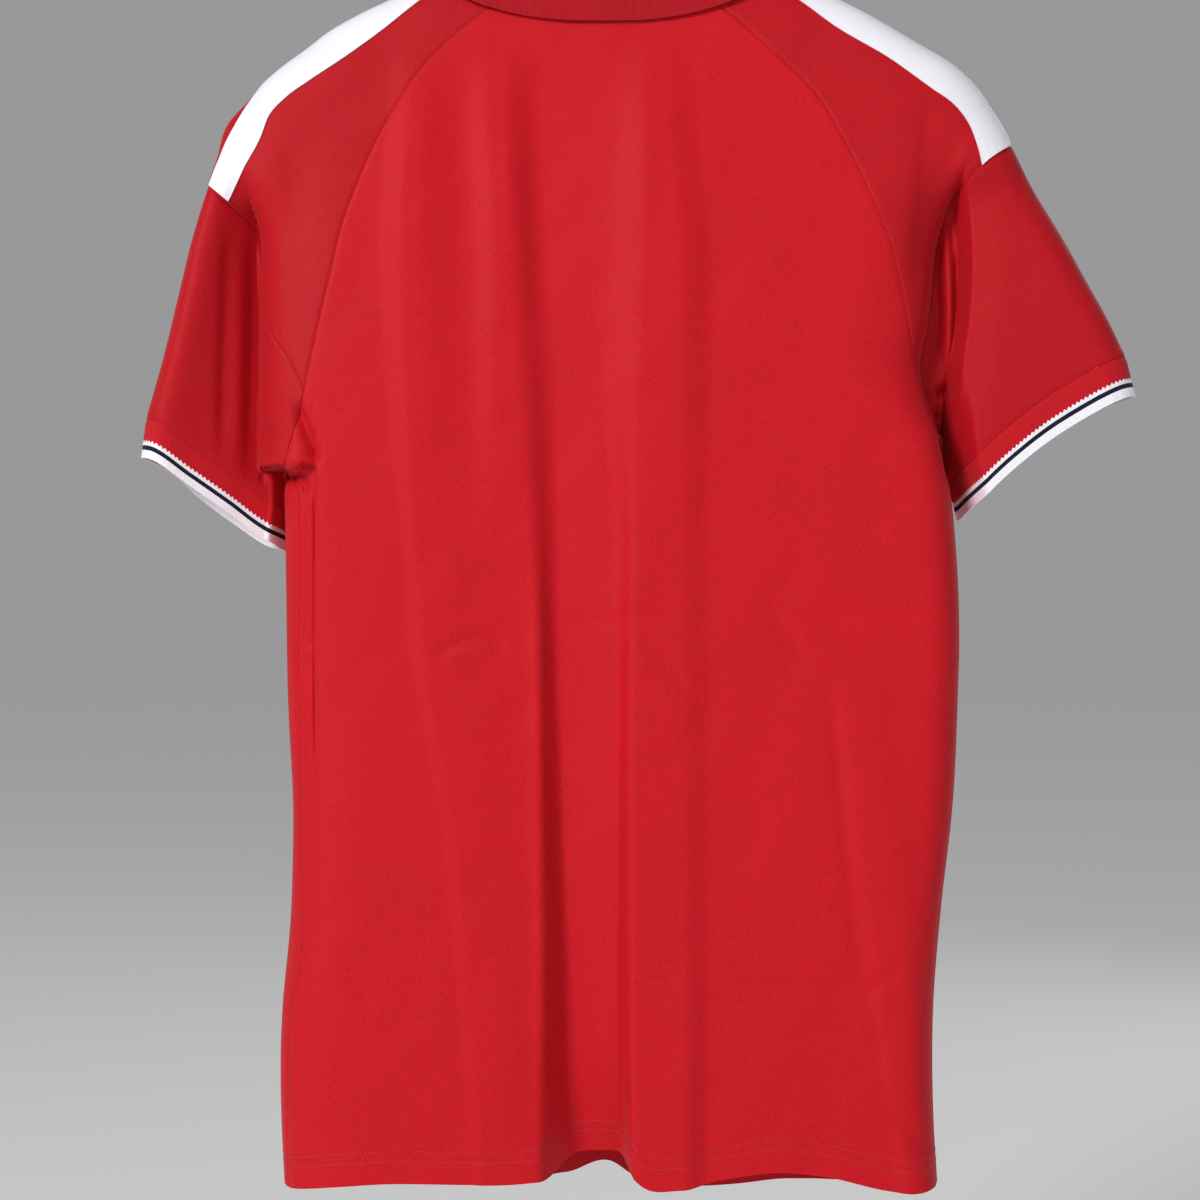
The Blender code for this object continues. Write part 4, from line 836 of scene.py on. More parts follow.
def front_panel():
    """Front of the body: each row runs round the body's section from side to side, x is the cosine of the
    column's angle between the edges, and y the height there; the neck and sides are then fitted."""
    left, right = body_rows("left", 1), body_rows("right", 1)
    starts, ends = turn_of(left), turn_of(right)
    ends = np.where(ends > 0, ends - 2 * math.pi, ends)
    drops = 0.5 * (left[:, 2] + right[:, 2])
    lows, highs = (body_edge(side, drops, 1) for side in SIDES)
    width = highs - lows
    places = narrowed(FRONT_STATIONS, drops, width)
    turns = -np.arccos(np.clip(1 - 2 * (places - lows[:, None]) / width[:, None], -1, 1))
    stops = np.column_stack([smoothed(starts, TURN_SPREAD), turns, smoothed(ends, TURN_SPREAD)])
    angle = between_stops(stops, FRONT_COLUMNS)
    shares = (angle - angle[:, :1]) / (angle[:, -1:] - angle[:, :1])
    first = -np.cos(between_stops(np.hstack([starts[0], turns[0], ends[0]])[None], FRONT_COLUMNS)[0])
    neck_edge = front_neck((first - first[0]) / (first[-1] - first[0]))
    drop = neck_pull(left[:, 2:] + shares * (right[:, 2:] - left[:, 2:]), neck_edge[:, 2], shares)
    x = body_edge("left", drop, 1)
    x = x + (1 - np.cos(angle)) / 2 * (body_edge("right", drop, 1) - x)
    drop = hem_pull(drop, x, shares, 1)
    away = np.where(np.sin(angle) >= 0, -body_surface(x, drop, 0), depth(x, drop, 1))
    grid = np.stack([x, away, drop], axis=-1).transpose(1, 0, 2)
    grid = fit_side(fit_side(grid, left, 0), right, 1)
    return fit_edge(grid, neck_edge, 1, 0, NECK_FIT)


def shoulder(side):
    """Raglan shoulder piece: columns from the back raglan seam over the ridge to the front one, by the sine
    of their share closer together towards the ridge, and turned at their feet to even steps along the
    upper-arm seam; y is the depth of the cloth there."""
    v = np.linspace(0, 1, RAGLAN_ROWS + 1)
    seams = [raglan(side, face, v) for face in (0, 1)]
    stops = np.array([seams[0][:, [0, 2]], path(TAPE_BACK[side], v), ridge_line(side, v),
                      path(TAPE_FRONT[side], v), seams[1][:, [0, 2]]])
    band, share = bands(SHOULDER_COLUMNS)
    quarter = share * math.pi / 2
    share = np.select([band == 1, band == 2], [np.sin(quarter), 1 - np.cos(quarter)], share)
    flat = stops[band] + share[:, None, None] * (stops[band + 1] - stops[band])
    feet = np.empty((len(band), 3))
    for face in (0, 1):
        seam = upper_arm(side, face, np.linspace(0, 1, SEAM_STEPS))
        reach = reach_along(seam)
        tape_end = stops[1 + 2 * face, -1]
        mark = reach[np.argmin(np.linalg.norm(seam[:, [0, 2]] - tape_end, axis=1))]
        marks = np.array([[0.0, mark, reach[-1]], [reach[-1], mark, 0.0]][face])
        here = band // 2 == face
        length = marks[band[here] % 2] + share[here] * np.diff(marks)[band[here] % 2]
        feet[here] = at_reach(seam, reach, length)
    flat = flat + between(v, SHOULDER_TURN, 1)[None, :, None] * (feet[:, None, [0, 2]] - flat[:, -1:])
    grid = np.where((band < 2)[:, None, None], on_cloth(flat, 0), on_cloth(flat, 1))
    return fit_edge(fit_edge(grid, seams[0], 0, 0, SHOULDER_FIT), seams[1], 0, 1, SHOULDER_FIT)


def sleeve(side, shoulder_grid):
    """Sleeve rings from the armhole down to the cuff seam; the first index runs round the arm. Each line
    down the sleeve runs evenly from a point of the armhole to its place on the cuff seam, bent in x and
    drop to the sleeve's folds. y is the sleeve's own height at the back, going over into the body's where
    the two hang together, and a rounded arch between the two folds in front."""
    arm_t = np.linspace(1, 0, ARMHOLE_ROWS + 1)
    back_count = sum(SHOULDER_COLUMNS[:2])
    top_back = np.concatenate([armhole(side, 0, arm_t)[:-1], shoulder_grid[:back_count + 1, -1]])
    top_front = np.concatenate([shoulder_grid[back_count:, -1], armhole(side, 1, arm_t[::-1])[1:]])
    share_back, share_front = (reach_along(half) / reach_along(half)[-1]
                               for half in (top_back, top_front[::-1]))
    top = np.concatenate([top_back, top_front[1:-1]])
    rows = np.asarray(CUFF_SEAM[side], float)
    low = np.concatenate([spline(rows[:, [0, 1, 3, 2]], spline(CUFF_SHARE[side], share_back)[:, 0]),
                          spline(rows[:, [0, 1, 4, 2]], share_front[::-1])[1:-1]])
    spread = np.concatenate([share_back, share_front[::-1][1:-1]])
    q = np.linspace(0, 1, SLEEVE_ROWS + 1)
    grid = top[:, None] + q[None, :, None] * (low - top)[:, None]
    # The outer and the inner fold follow their own lines, and so does the fold beside the body.
    outer = len(top_back) - 1
    outer_drop = SHOULDER_END[side] + q * (CUFF_OUTER[side] - SHOULDER_END[side])
    bend = ridge_x(side, outer_drop) - grid[outer, :, 0]
    grid[..., 0] += bend * spread[:, None] ** 3
    rail = path([top[0], *UNDERARM_FOLD[side]], q)
    near_rail = 1 - ease(spread / SLEEVE_RAIL)
    grid[..., [0, 2]] += near_rail[:, None, None] * (rail - grid[0])[:, [0, 2]]
    at_back = (np.arange(len(grid)) <= outer)[:, None]
    line = SLEEVE_FOLD[side]
    start = np.argmin(np.sum((top_back[:, [0, 2]] - line[0]) ** 2, axis=1))
    bend = path([top_back[start, [0, 2]], *line[1:], grid[start, -1, [0, 2]]], q) - grid[start][:, [0, 2]]
    reach = np.where(spread < spread[start], spread[start], SLEEVE_FOLD_REACH * (1 - spread[start]))
    beside = at_back * np.clip(1 - np.abs(spread - spread[start]) / reach, 0, 1)[:, None]
    grid[..., [0, 2]] += beside[..., None] * bend
    x, drop = grid[..., 0], grid[..., 2]
    across = np.clip((x - x[:1]) / (x[outer] - x[:1]), 0, 1)
    front = SLEEVE_DEPTH * arch(across, SLEEVE_FULLNESS)
    front = front + (grid[..., 1] - front) * (1 - ease(q / FRONT_LEAVES))
    if side == "left":
        over = ease((x - body_edge("left", drop, 0)) / EDGE_STEP + 1) * (1 - below_shelf(x, drop))
    else:
        over = 1 - ease(q / BACK_LEAVES)
    alone = arm_height(side, x, drop, 0)
    alone = alone + relief(x, drop, 0) * ease(alone / SLEEVE_CREASE_RISE)
    back = -alone - over * (depth(x, drop, 0) - alone)
    grid[..., 1] = np.where(at_back, back, front)
    # Near the inner fold both halves are drawn to its line.
    tucked = (1 - q**2) * (1 - ease(spread / SLEEVE_TUCK))[:, None] + q**2 * (1 - ease(across / FOLD_SHARE))
    if side == "left":
        tucked = tucked * below_shelf(x, drop)
    grid[..., 1] += tucked * (rail[:, 1] - np.where(at_back, grid[:1, :, 1], front[-1:]))
    # The seams keep their own points.
    grid[:, 0] = top
    return grid


def even_ring(ring, count):
    """The same closed ring with count even steps, starting at its first point."""
    closed = np.vstack([ring, ring[:1]])
    reach = reach_along(closed)
    return at_reach(closed, reach, np.linspace(0, reach[-1], count, endpoint=False))


def cuff(side, sleeve_grid):
    """Knitted band hanging from the sleeve's last ring; its front hangs lower by up to FRONT_CUFF_FALL, as
    a sine arch from the inner fold to the outer one."""
    ring = even_ring(sleeve_grid[:, -1], CUFF_COLUMNS)
    steps = np.linspace(0, 1, CUFF_ROWS + 1)[None, :, None]
    across = (ring[:, 0] - ring[0, 0]) / (ridge_x(side, CUFF_OUTER[side]) - ring[0, 0])
    in_front = between(ring[:, 1], *CUFF_FRONT) * np.sin(math.pi * np.clip(across, 0, 1)) ** CUFF_ARCH
    fall = np.zeros((len(ring), 3)) + (CUFF_LEAN[side], 0.0, CUFF_HEIGHT)
    fall[:, 2] += FRONT_CUFF_FALL[side] * in_front
    return ring[:, None] + steps * fall[:, None]


def neck_loop(side, shoulder_grid, t):
    """Neck seam from the front point over the shoulder to the centre of the back."""
    half = np.linspace(0.5, float(side == "right"), NECK_STEPS[0])
    over = np.linspace(len(shoulder_grid) - 1, 0, NECK_STEPS[1]).round().astype(int)
    line = np.concatenate([front_neck(half)[:-1], shoulder_grid[over, 0], back_neck(half[::-1])[1:]])
    return path(line, t)


def collar_edge(side, t, clearance):
    """Free edge of the collar, lying over the cloth from the front point to the centre of the back."""
    sign = SIGN[side]
    front = on_cloth([(sign * x, drop) for x, drop in COLLAR_EDGE_FRONT], 1)
    back = on_cloth([(sign * x, drop) for x, drop in COLLAR_EDGE_BACK], 0)
    ridge = [[float(ridge_x(side, COLLAR_EDGE_RIDGE)), 0.0, COLLAR_EDGE_RIDGE]]
    line = path(np.concatenate([front, ridge, back]), t)
    near_ridge = np.exp(-np.abs(line[:, 1]) / COLLAR_EDGE_TURN)
    aside, above = COLLAR_EDGE_OUT
    out = unit(np.column_stack([sign * aside * near_ridge, line[:, 1], -above * near_ridge]))
    return line + out * clearance[:, None]


def collar(shoulders):
    """Rows from the neck seam up the stand, over the roll and down the fall to the free edge: a smooth
    profile through the stand, the crown of the roll and the fall, carried round the neck seam."""
    t = np.linspace(0, 1, COLLAR_COLUMNS // 2 + 1)
    stand, lean, clearance = np.moveaxis(spline(COLLAR, t), -1, 0)
    up = np.array([0.0, 0.0, -1.0])
    halves = []
    for side in SIDES:
        seam = neck_loop(side, shoulders[side], t)
        inward = np.column_stack([unit(np.array(NECK_MIDDLE) - seam[:, :2]), np.zeros(len(t))])
        foot = seam + up * COLLAR_SEAT - inward * COLLAR_LAP * (1 - ease(t / COLLAR_CLOSE))[:, None]
        top = foot + up * stand[:, None] + inward * lean[:, None]
        roll = np.minimum(COLLAR_ROLL, COLLAR_ROLL_LEAST + stand / COLLAR_ROLL_RISE)[:, None]
        over = top - inward * 2 * roll
        edge = collar_edge(side, t, clearance)
        stand_middle = 0.5 * (foot + top) + COLLAR_STAND_BOW * lean[:, None] * inward
        crown = top + (COLLAR_CROWN * up - inward) * roll
        fall = [over + share * (edge - over) - inward * COLLAR_BULGE for share in COLLAR_FALL_KNOTS]
        knots = np.array([foot, stand_middle, top, crown, over, *fall, edge])
        table = np.column_stack([np.arange(len(knots)), knots.reshape(len(knots), -1)])
        profile = spline(table, np.linspace(0, len(knots) - 1, COLLAR_ROWS))
        halves.append(profile.reshape(COLLAR_ROWS, -1, 3))
    left, right = halves
    return np.moveaxis(np.concatenate([left[:, :-1], right[:, ::-1]], axis=1), 0, 1)


# ---------------------------------------------------------------- walls

def grid_normals(grid, closed_loop):
    """Unit normals of a grid of points, from its own neighbours."""
    if closed_loop:
        across = np.roll(grid, -1, axis=0) - np.roll(grid, 1, axis=0)
    else:
        across = np.gradient(grid, axis=0)
    return unit(np.cross(across, np.gradient(grid, axis=1)))


def shared_normals(grids, tubes):
    """Normals of every piece, made the same for pieces at each point that they share."""
    points = np.concatenate([grid.reshape(-1, 3) for grid in grids.values()])
    values = np.concatenate([grid_normals(grid, name in tubes).reshape(-1, 3)
                             for name, grid in grids.items()])
    index = np.unique(np.round(points, 2), axis=0, return_inverse=True)[1].reshape(-1)
    total = np.stack([np.bincount(index, value) for value in values.T], axis=-1)
    ends = np.cumsum([grid.size // 3 for grid in grids.values()])
    pieces = np.split(unit(total[index]), ends[:-1])
    return {name: mean.reshape(grid.shape) for (name, grid), mean in zip(grids.items(), pieces)}


def finer_borders(grid, edges):
    """Adds lines of points close to each chosen edge of a grid, at BORDER_SHARES of its first step."""
    for axis, end in edges:
        lines = from_edge(grid, axis, end)
        near = [lines[0] + share * (lines[1] - lines[0]) for share in BORDER_SHARES]
        lines = np.concatenate([lines[:1], near, lines[1:]])
        grid = np.moveaxis(lines[::-1] if end else lines, 0, axis)
    return grid


def rolled_edges(grid, normals, edges):
    """Draws the chosen edges of a piece back from their seams by half the seam gap, and rolls the cloth
    down towards them: the dip is SEAM_DIP times a bell curve of the distance from the edge."""
    moved = grid.copy()
    for axis, end in edges:
        rows, target, outward = (from_edge(lines, axis, end) for lines in (grid, moved, normals))
        dip = SEAM_DIP * np.exp(-(reach_along(rows[:BORDER_LINES]) / SEAM_ROLL) ** 2)
        target[:BORDER_LINES] -= outward[:BORDER_LINES] * dip[..., None]
        target[0] += unit(rows[1] - rows[0]) * SEAM_GAP / 2
    return moved


def cloth_uv(grid, closed_loop):
    """Place of each point in the cut piece, in millimetres: u along its row from the middle column, v
    down its column from the top row."""
    wrapped = np.concatenate([grid, grid[:1]]) if closed_loop else grid
    u, v = reach_along(wrapped), reach_along(wrapped.swapaxes(0, 1)).T
    return np.stack([u - u[len(u) // 2], v], axis=-1)


def to_frame(points):
    """Millimetre points (x, y, drop) as metres in the frame."""
    x, y, drop = np.moveaxis(np.asarray(points, float), -1, 0)
    return np.stack([x, y, -(drop + HOOK_TO_SHOULDER)], axis=-1) / 1000


def quads_of(index):
    """The four corners of every cell of a grid of indices."""
    return np.stack([index[:-1, :-1], index[1:, :-1], index[1:, 1:], index[:-1, 1:]], axis=-1).reshape(-1, 4)


def add_mesh(name, points, quads, material, uv=None):
    """A closed, smooth mesh object of quads; uv holds one (u, v) for each corner of each quad."""
    points = to_frame(points)
    # The volume is negative where the faces point inwards.
    first, second, third, fourth = np.moveaxis(points[quads], 1, 0)
    if np.sum(first * np.cross(second - fourth, third)) < 0:
        quads, uv = quads[:, ::-1], uv if uv is None else uv[:, ::-1]
    mesh = bpy.data.meshes.new(name)
    mesh.vertices.add(len(points))
    mesh.vertices.foreach_set("co", points.astype(np.float32).ravel())
    mesh.loops.add(quads.size)
    mesh.loops.foreach_set("vertex_index", quads.astype(np.int32).ravel())
    mesh.polygons.add(len(quads))
    mesh.polygons.foreach_set("loop_start", np.arange(0, quads.size, 4, dtype=np.int32))
    mesh.polygons.foreach_set("loop_total", np.full(len(quads), 4, dtype=np.int32))
    if uv is not None:
        layer = mesh.uv_layers.new(name="cloth")
        layer.data.foreach_set("uv", np.asarray(uv, np.float32).ravel())
    mesh.update(calc_edges=True)
    mesh.shade_smooth()
    mesh.set_sharp_from_angle(angle=SHARP_ANGLE)
    mesh.materials.append(material)
    piece = bpy.data.objects.new(name, mesh)
    bpy.context.scene.collection.objects.link(piece)
    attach(piece, "root")
    return piece


def cloth_wall(name, grid, normals, thickness, material, closed_loop=False):
    """Closed wall round a grid: outer and inner faces half the thickness from it, joined at the rims."""
    m, n = grid.shape[:2]
    points = np.concatenate([(grid + normals * thickness / 2).reshape(-1, 3),
                             (grid - normals * thickness / 2).reshape(-1, 3)])
    rows = np.arange(m + closed_loop) % m
    index = rows[:, None] * n + np.arange(n)
    places = cloth_uv(grid, closed_loop)
    corner = np.arange(places.shape[0] * n).reshape(-1, n)
    skin, skin_uv = quads_of(index), quads_of(corner)
    quads, uvs = [skin, skin[:, ::-1] + m * n], [skin_uv, skin_uv[:, ::-1]]
    rims = [(index[:, 0], corner[:, 0]), (index[::-1, -1], corner[::-1, -1])]
    if not closed_loop:
        rims += [(index[-1], corner[-1]), (index[0, ::-1], corner[0, ::-1])]
    for rim, rim_corner in rims:
        quads.append(np.stack([rim[1:], rim[:-1], rim[:-1] + m * n, rim[1:] + m * n], axis=-1))
        uvs.append(np.stack([rim_corner[1:], rim_corner[:-1], rim_corner[:-1], rim_corner[1:]], axis=-1))
    uv = places.reshape(-1, 2)[np.concatenate(uvs)]
    return add_mesh(name, points, np.concatenate(quads), material, uv)


def tape_on(grid, normals, side):
    """Shoulder tape: a strip of the shoulder piece's own points, moved out, from the column of its back
    edge to a front edge that comes over to the back towards the upper-arm seam."""
    v = np.linspace(0, 1, grid.shape[1])
    reach = spline(TAPE_REACH[side], v)[:, 0]
    behind, ahead = SHOULDER_COLUMNS[1:3]
    taken = behind * (1 + np.minimum(reach, 0)) + ahead * np.maximum(reach, 0)
    columns = SHOULDER_COLUMNS[0] + np.linspace(0, 1, TAPE_COLUMNS + 1)[:, None] * taken
    whole = np.minimum(columns.astype(int), len(grid) - 2)
    share = (columns - whole)[..., None]
    row = np.arange(grid.shape[1])
    strip, lift = (lines[whole, row] + share * (lines[whole + 1, row] - lines[whole, row])
                   for lines in (grid, normals))
    lift = unit(lift)
    return strip + lift * (CLOTH / 2 + SEAM_GAP + TAPE / 2), lift


# ---------------------------------------------------------------- sewing

def point_at(grid, normals, inset):
    """Line of points and normals a given length of cloth above the last row of a grid."""
    lines, outward = (rows[:, ::-1] for rows in (grid, normals))
    away = reach_along(lines.swapaxes(0, 1)).T
    row, column = np.argmax(away > inset, axis=1), np.arange(len(lines))
    share = ((inset - away[column, row - 1]) / (away[column, row] - away[column, row - 1]))[:, None]
    points, lift = (rows[column, row - 1] + share * (rows[column, row] - rows[column, row - 1])
                    for rows in (lines, outward))
    return points, unit(lift)


def stitches(name, lines, material):
    """Small oval beads of thread laid end to end: each is a stretched six-sided ring profile, carried to
    every STITCH_PITCH along the lines and turned to lie along them."""
    beads = []
    for points, outward in lines:
        reach = reach_along(points)
        at = np.arange(STITCH_PITCH, reach[-1] - STITCH_PITCH, STITCH_PITCH)
        centre, lift = at_reach(points, reach, at), unit(at_reach(outward, reach, at))
        ahead = unit(at_reach(points, reach, at + 0.5) - centre)
        beads.append(np.stack([centre, ahead, np.cross(ahead, lift), lift], axis=1))
    beads = np.concatenate(beads)
    along, swell = np.array(STITCH_FORM).T[..., None]
    turn = np.linspace(0, 2 * math.pi, STITCH_SIDES, endpoint=False)
    shape = np.stack(np.broadcast_arrays(along * STITCH_LENGTH, swell * np.cos(turn) * STITCH_WIDTH / 2,
                                         swell * np.sin(turn) * STITCH_HEIGHT / 2), axis=-1)
    points = beads[:, :1, None] + np.einsum("rti,bij->brtj", shape, beads[:, 1:])
    index = np.arange(shape.size // 3).reshape(shape.shape[:2])
    caps = np.array([[0, 1, 2, 3], [0, 3, 4, 5]])
    quads = np.concatenate([quads_of(np.column_stack([index, index[:, 0]]).T),
                            caps, index[-1, 0] + caps[:, ::-1]])
    quads = quads + index.size * np.arange(len(beads))[:, None, None]
    return add_mesh(name, points.reshape(-1, 3), quads.reshape(-1, 4), material)


# ---------------------------------------------------------------- hanger

def tube(name, rings, material):
    """Closed tube through rings of points, each end gathered to its middle."""
    count, sides = rings.shape[:2]
    points = np.concatenate([rings.reshape(-1, 3), rings[[0, -1]].mean(axis=1)])
    index = np.arange(count * sides).reshape(count, sides)
    index = np.column_stack([index, index[:, 0]])
    quads = [quads_of(index)]
    steps = np.arange(0, sides, 2)
    for ring, middle, turn in ((index[0], count * sides, -1), (index[-1], count * sides + 1, 1)):
        fan = [ring[steps], ring[steps + 1], ring[steps + 2], np.full(len(steps), middle)]
        quads.append(np.stack(fan, axis=-1)[:, ::turn])
    return add_mesh(name, points, np.concatenate(quads), material)


def rounded_end(reach, length):
    """Share of a tube's full section at a reach from its end, rounded as an ellipse over a length."""
    return np.sqrt(np.clip(1 - (1 - np.minimum(reach / length, 1)) ** 2, END_LEAST_SQUARED, 1))


def hanger_arms(material):
    """Moulded bar: oval sections, each a scaled circle, along the shoulder lines and over a dip under the
    neck, tapering to round tips."""
    rows = np.linspace(0, 1, HANGER_STEPS)[1:]
    under_neck = np.linspace(-HANGER_UNDER_NECK, HANGER_UNDER_NECK, HANGER_STEPS)
    half_span, shoulder_drop = HANGER_SHOULDER
    crest = HANGER_TOP + (shoulder_drop - HANGER_TOP) * (np.abs(under_neck) / half_span) ** HANGER_CREST
    lines = {side: ridge_line(side, rows) for side in SIDES}
    lines = {side: line[np.abs(line[:, 0]) < abs(HANGER_TIP[side])] for side, line in lines.items()}
    line = np.concatenate([lines["left"][::-1], np.column_stack([under_neck, crest]), lines["right"]])
    line[:, 1] += HANGER_DROP * np.sqrt(1 + np.gradient(line[:, 1], line[:, 0]) ** 2)
    shallow, deep = HANGER_HALF_DEPTH
    half_depth = shallow + (deep - shallow) * abs(line[:, 0]) / HANGER_WIDEST
    end = np.minimum(line[:, 0] - line[0, 0], line[-1, 0] - line[:, 0])
    swell = rounded_end(end, HANGER_TIP_ROUND)
    turn = np.linspace(0, 2 * math.pi, HANGER_SIDES, endpoint=False)
    x = np.repeat(line[:, :1], HANGER_SIDES, axis=1)
    y = (half_depth * swell)[:, None] * np.sin(turn)
    drop = (line[:, 1] + HANGER_HALF_HEIGHT)[:, None] - HANGER_HALF_HEIGHT * swell[:, None] * np.cos(turn)
    return tube("moulded_hanger_bar", np.stack([x, y, drop], axis=-1), material)


def hanger_hook(material):
    """Bent wire: an arc whose inner top is the origin, a cubic Bezier curve back to the middle, and a
    straight stem down to the bar."""
    centre = HOOK_WIRE / 2 - HOOK_RADIUS
    turn = np.radians(np.linspace(*HOOK_TURN, HOOK_STEPS[0]))
    arc = np.column_stack([HOOK_RADIUS * np.cos(turn), centre + HOOK_RADIUS * np.sin(turn)])
    foot = HOOK_SINK - HOOK_TO_SHOULDER - HANGER_TOP
    heading = np.array([math.sin(turn[-1]), -math.cos(turn[-1])])
    straight = np.array([0.0, centre - HOOK_NECK])
    handles = arc[-1], arc[-1] + HOOK_BEND * heading, straight + [0.0, HOOK_BEND], straight
    s = np.linspace(0, 1, HOOK_STEPS[1])[1:, None]
    weights = (1 - s) ** 3, 3 * (1 - s) ** 2 * s, 3 * (1 - s) * s**2, s**3
    neck = sum(weight * handle for weight, handle in zip(weights, handles))
    points = np.concatenate([arc, neck, [[0.0, foot]]])
    along = unit(np.gradient(points, axis=0))
    across = np.column_stack([-along[:, 1], along[:, 0]])
    angle = np.linspace(0, 2 * math.pi, HOOK_SIDES, endpoint=False)
    radius = HOOK_WIRE / 2 * rounded_end(reach_along(points), HOOK_WIRE / 2)[:, None]
    ring = points[:, None] + (radius * np.cos(angle))[..., None] * across[:, None]
    rings = np.stack([ring[..., 0], radius * np.sin(angle), -HOOK_TO_SHOULDER - ring[..., 1]], axis=-1)
    return tube("plated_wire_hook", rings, material)


# ---------------------------------------------------------------- materials

def linear(hex_colour):
    """An sRGB hex colour as linear RGBA."""
    parts = [int(hex_colour[i:i + 2], 16) / 255 for i in (0, 2, 4)]
    parts = [part / 12.92 if part <= 0.04045 else ((part + 0.055) / 1.055) ** 2.4 for part in parts]
    return (*parts, 1.0)


def new_material(name, hex_colour, roughness, **settings):
    """A Principled material; settings are its other sockets by name, with _ for a space."""
    made = bpy.data.materials.new(name)
    made.use_nodes = True
    made.diffuse_color = linear(hex_colour)
    shader = made.node_tree.nodes["Principled BSDF"]
    shader.inputs["Base Color"].default_value = linear(hex_colour)
    shader.inputs["Roughness"].default_value = roughness
    for key, value in settings.items():
        shader.inputs[key.replace("_", " ")].default_value = value
    return made


def add(made, kind, *inputs, output=0, **settings):
    """Adds a node with its settings, and sets or links its usable inputs in order; None leaves one as it
    is. Returns the output of that name or number."""
    tree = made.node_tree
    node = tree.nodes.new("ShaderNode" + kind)
    for key, value in settings.items():
        setattr(node, key, value)
    for socket, value in zip([socket for socket in node.inputs if socket.enabled], inputs):
        if isinstance(value, bpy.types.NodeSocket):
            tree.links.new(value, socket)
        elif value is not None:
            socket.default_value = value
    return node.outputs[output]


def link(made, output, socket):
    """Links an output to a socket of the material's Principled node."""
    made.node_tree.links.new(output, made.node_tree.nodes["Principled BSDF"].inputs[socket])


def cloth_place(made):
    """The place in the cut piece, u and v in millimetres."""
    place = add(made, "UVMap", uv_map="cloth")
    return [add(made, "SeparateXYZ", place, output=axis) for axis in "XY"]


def wave(made, value, length):
    """Sine of a value, with a half wave to each length."""
    turn = add(made, "Math", value, math.pi / length, operation="MULTIPLY")
    return add(made, "Math", turn, operation="SINE")


def loops(made, u, v, wale, course):
    """Height of knitted loops: rounded ribs a wale apart, each cut across a course apart, the cuts
    stepping half a course from rib to rib."""
    rib = add(made, "Math", wave(made, u, wale), operation="ABSOLUTE")
    rib = add(made, "Math", rib, 0.6, operation="POWER")
    number = add(made, "Math", add(made, "Math", u, wale, operation="DIVIDE"), operation="FLOOR")
    shifted = add(made, "Math", number, 0.5 * course, v, operation="MULTIPLY_ADD")
    cut = add(made, "Math", wave(made, shifted, course), operation="ABSOLUTE")
    cut = add(made, "Math", cut, 0.45, 0.55, operation="MULTIPLY_ADD")
    return add(made, "Math", rib, cut, operation="MULTIPLY")


def mottled(made, hex_colour, *layers):
    """Base colour varied by layers of noise over the piece, each an amount and a number of waves to the
    metre: a few for uneven dyeing, and one to each 1.3 mm or so for the flecks between loops."""
    place = add(made, "TexCoord", output="Object")
    value = 1.0
    for amount, scale in layers:
        noise = add(made, "TexNoise", place, scale, 3.0)
        noise = add(made, "Math", noise, amount, -amount / 2, operation="MULTIPLY_ADD")
        value = add(made, "Math", noise, value, operation="ADD")
    return add(made, "HueSaturation", 0.5, 1.0, value, 1.0, linear(hex_colour))


def interlock_knit(name, hex_colour):
    """Polyester interlock, circular knitted and piece-dyed: smooth, with a satin sheen and a fine grain.

    The yarn's wales are 0.8 mm apart; they are drawn 1.6 mm apart, because finer ones would not show."""
    made = new_material(name, hex_colour, 0.6, Sheen_Weight=0.05, Sheen_Roughness=0.4,
                        Specular_IOR_Level=0.15)
    link(made, mottled(made, hex_colour, (0.08, 14.0), (0.6, 760.0)), "Base Color")
    height = loops(made, *cloth_place(made), 1.6, 2.2)
    link(made, add(made, "Bump", 0.10, 0.0003, None, height), "Normal")
    return made


def woven_tape():
    """White polyester tape, woven in twill: bright, smooth, with a faint slanting line.

    The twill's lines are 0.5 mm apart; they are drawn 1.4 mm apart, because finer ones would not show."""
    made = new_material("woven polyester tape", "EDEAF2", 0.5, Sheen_Weight=0.2, Sheen_Roughness=0.3)
    link(made, mottled(made, "EDEAF2", (0.04, 30.0)), "Base Color")
    slant = add(made, "Math", *cloth_place(made), operation="ADD")
    link(made, add(made, "Bump", 0.1, 0.0002, None, wave(made, slant, 1.4 / 2)), "Normal")
    return made


def banded_rib():
    """Flat-knit polyester, yarn-dyed: red rib, then a white course toothed into it, a navy one and a plain
    white roll. Duller than the body's knit, with ribs that show: 1.05 mm apart, as in a fine flat knit."""
    made = new_material("flat-knit polyester rib", "BC0E1D", 0.7, Sheen_Weight=0.05, Specular_IOR_Level=0.16)
    u, v = cloth_place(made)
    colour = mottled(made, "BC0E1D", (0.10, 20.0), (0.2, 700.0))
    tooth = add(made, "Math", u, CUFF_RIB / 2, operation="PINGPONG")
    edge = add(made, "Math", tooth, CUFF_BANDS[0], operation="ADD")
    for start, shade in zip((edge, *CUFF_BANDS[1:]), ("EBE8F0", "12152A", "F0EDF4")):
        past = add(made, "Math", v, start, operation="GREATER_THAN")
        colour = add(made, "Mix", past, colour, linear(shade), data_type="RGBA", output=2)
    link(made, colour, "Base Color")
    link(made, add(made, "Bump", 0.4, 0.0004, None, loops(made, u, v, 1.05, 1.5)), "Normal")
    return made


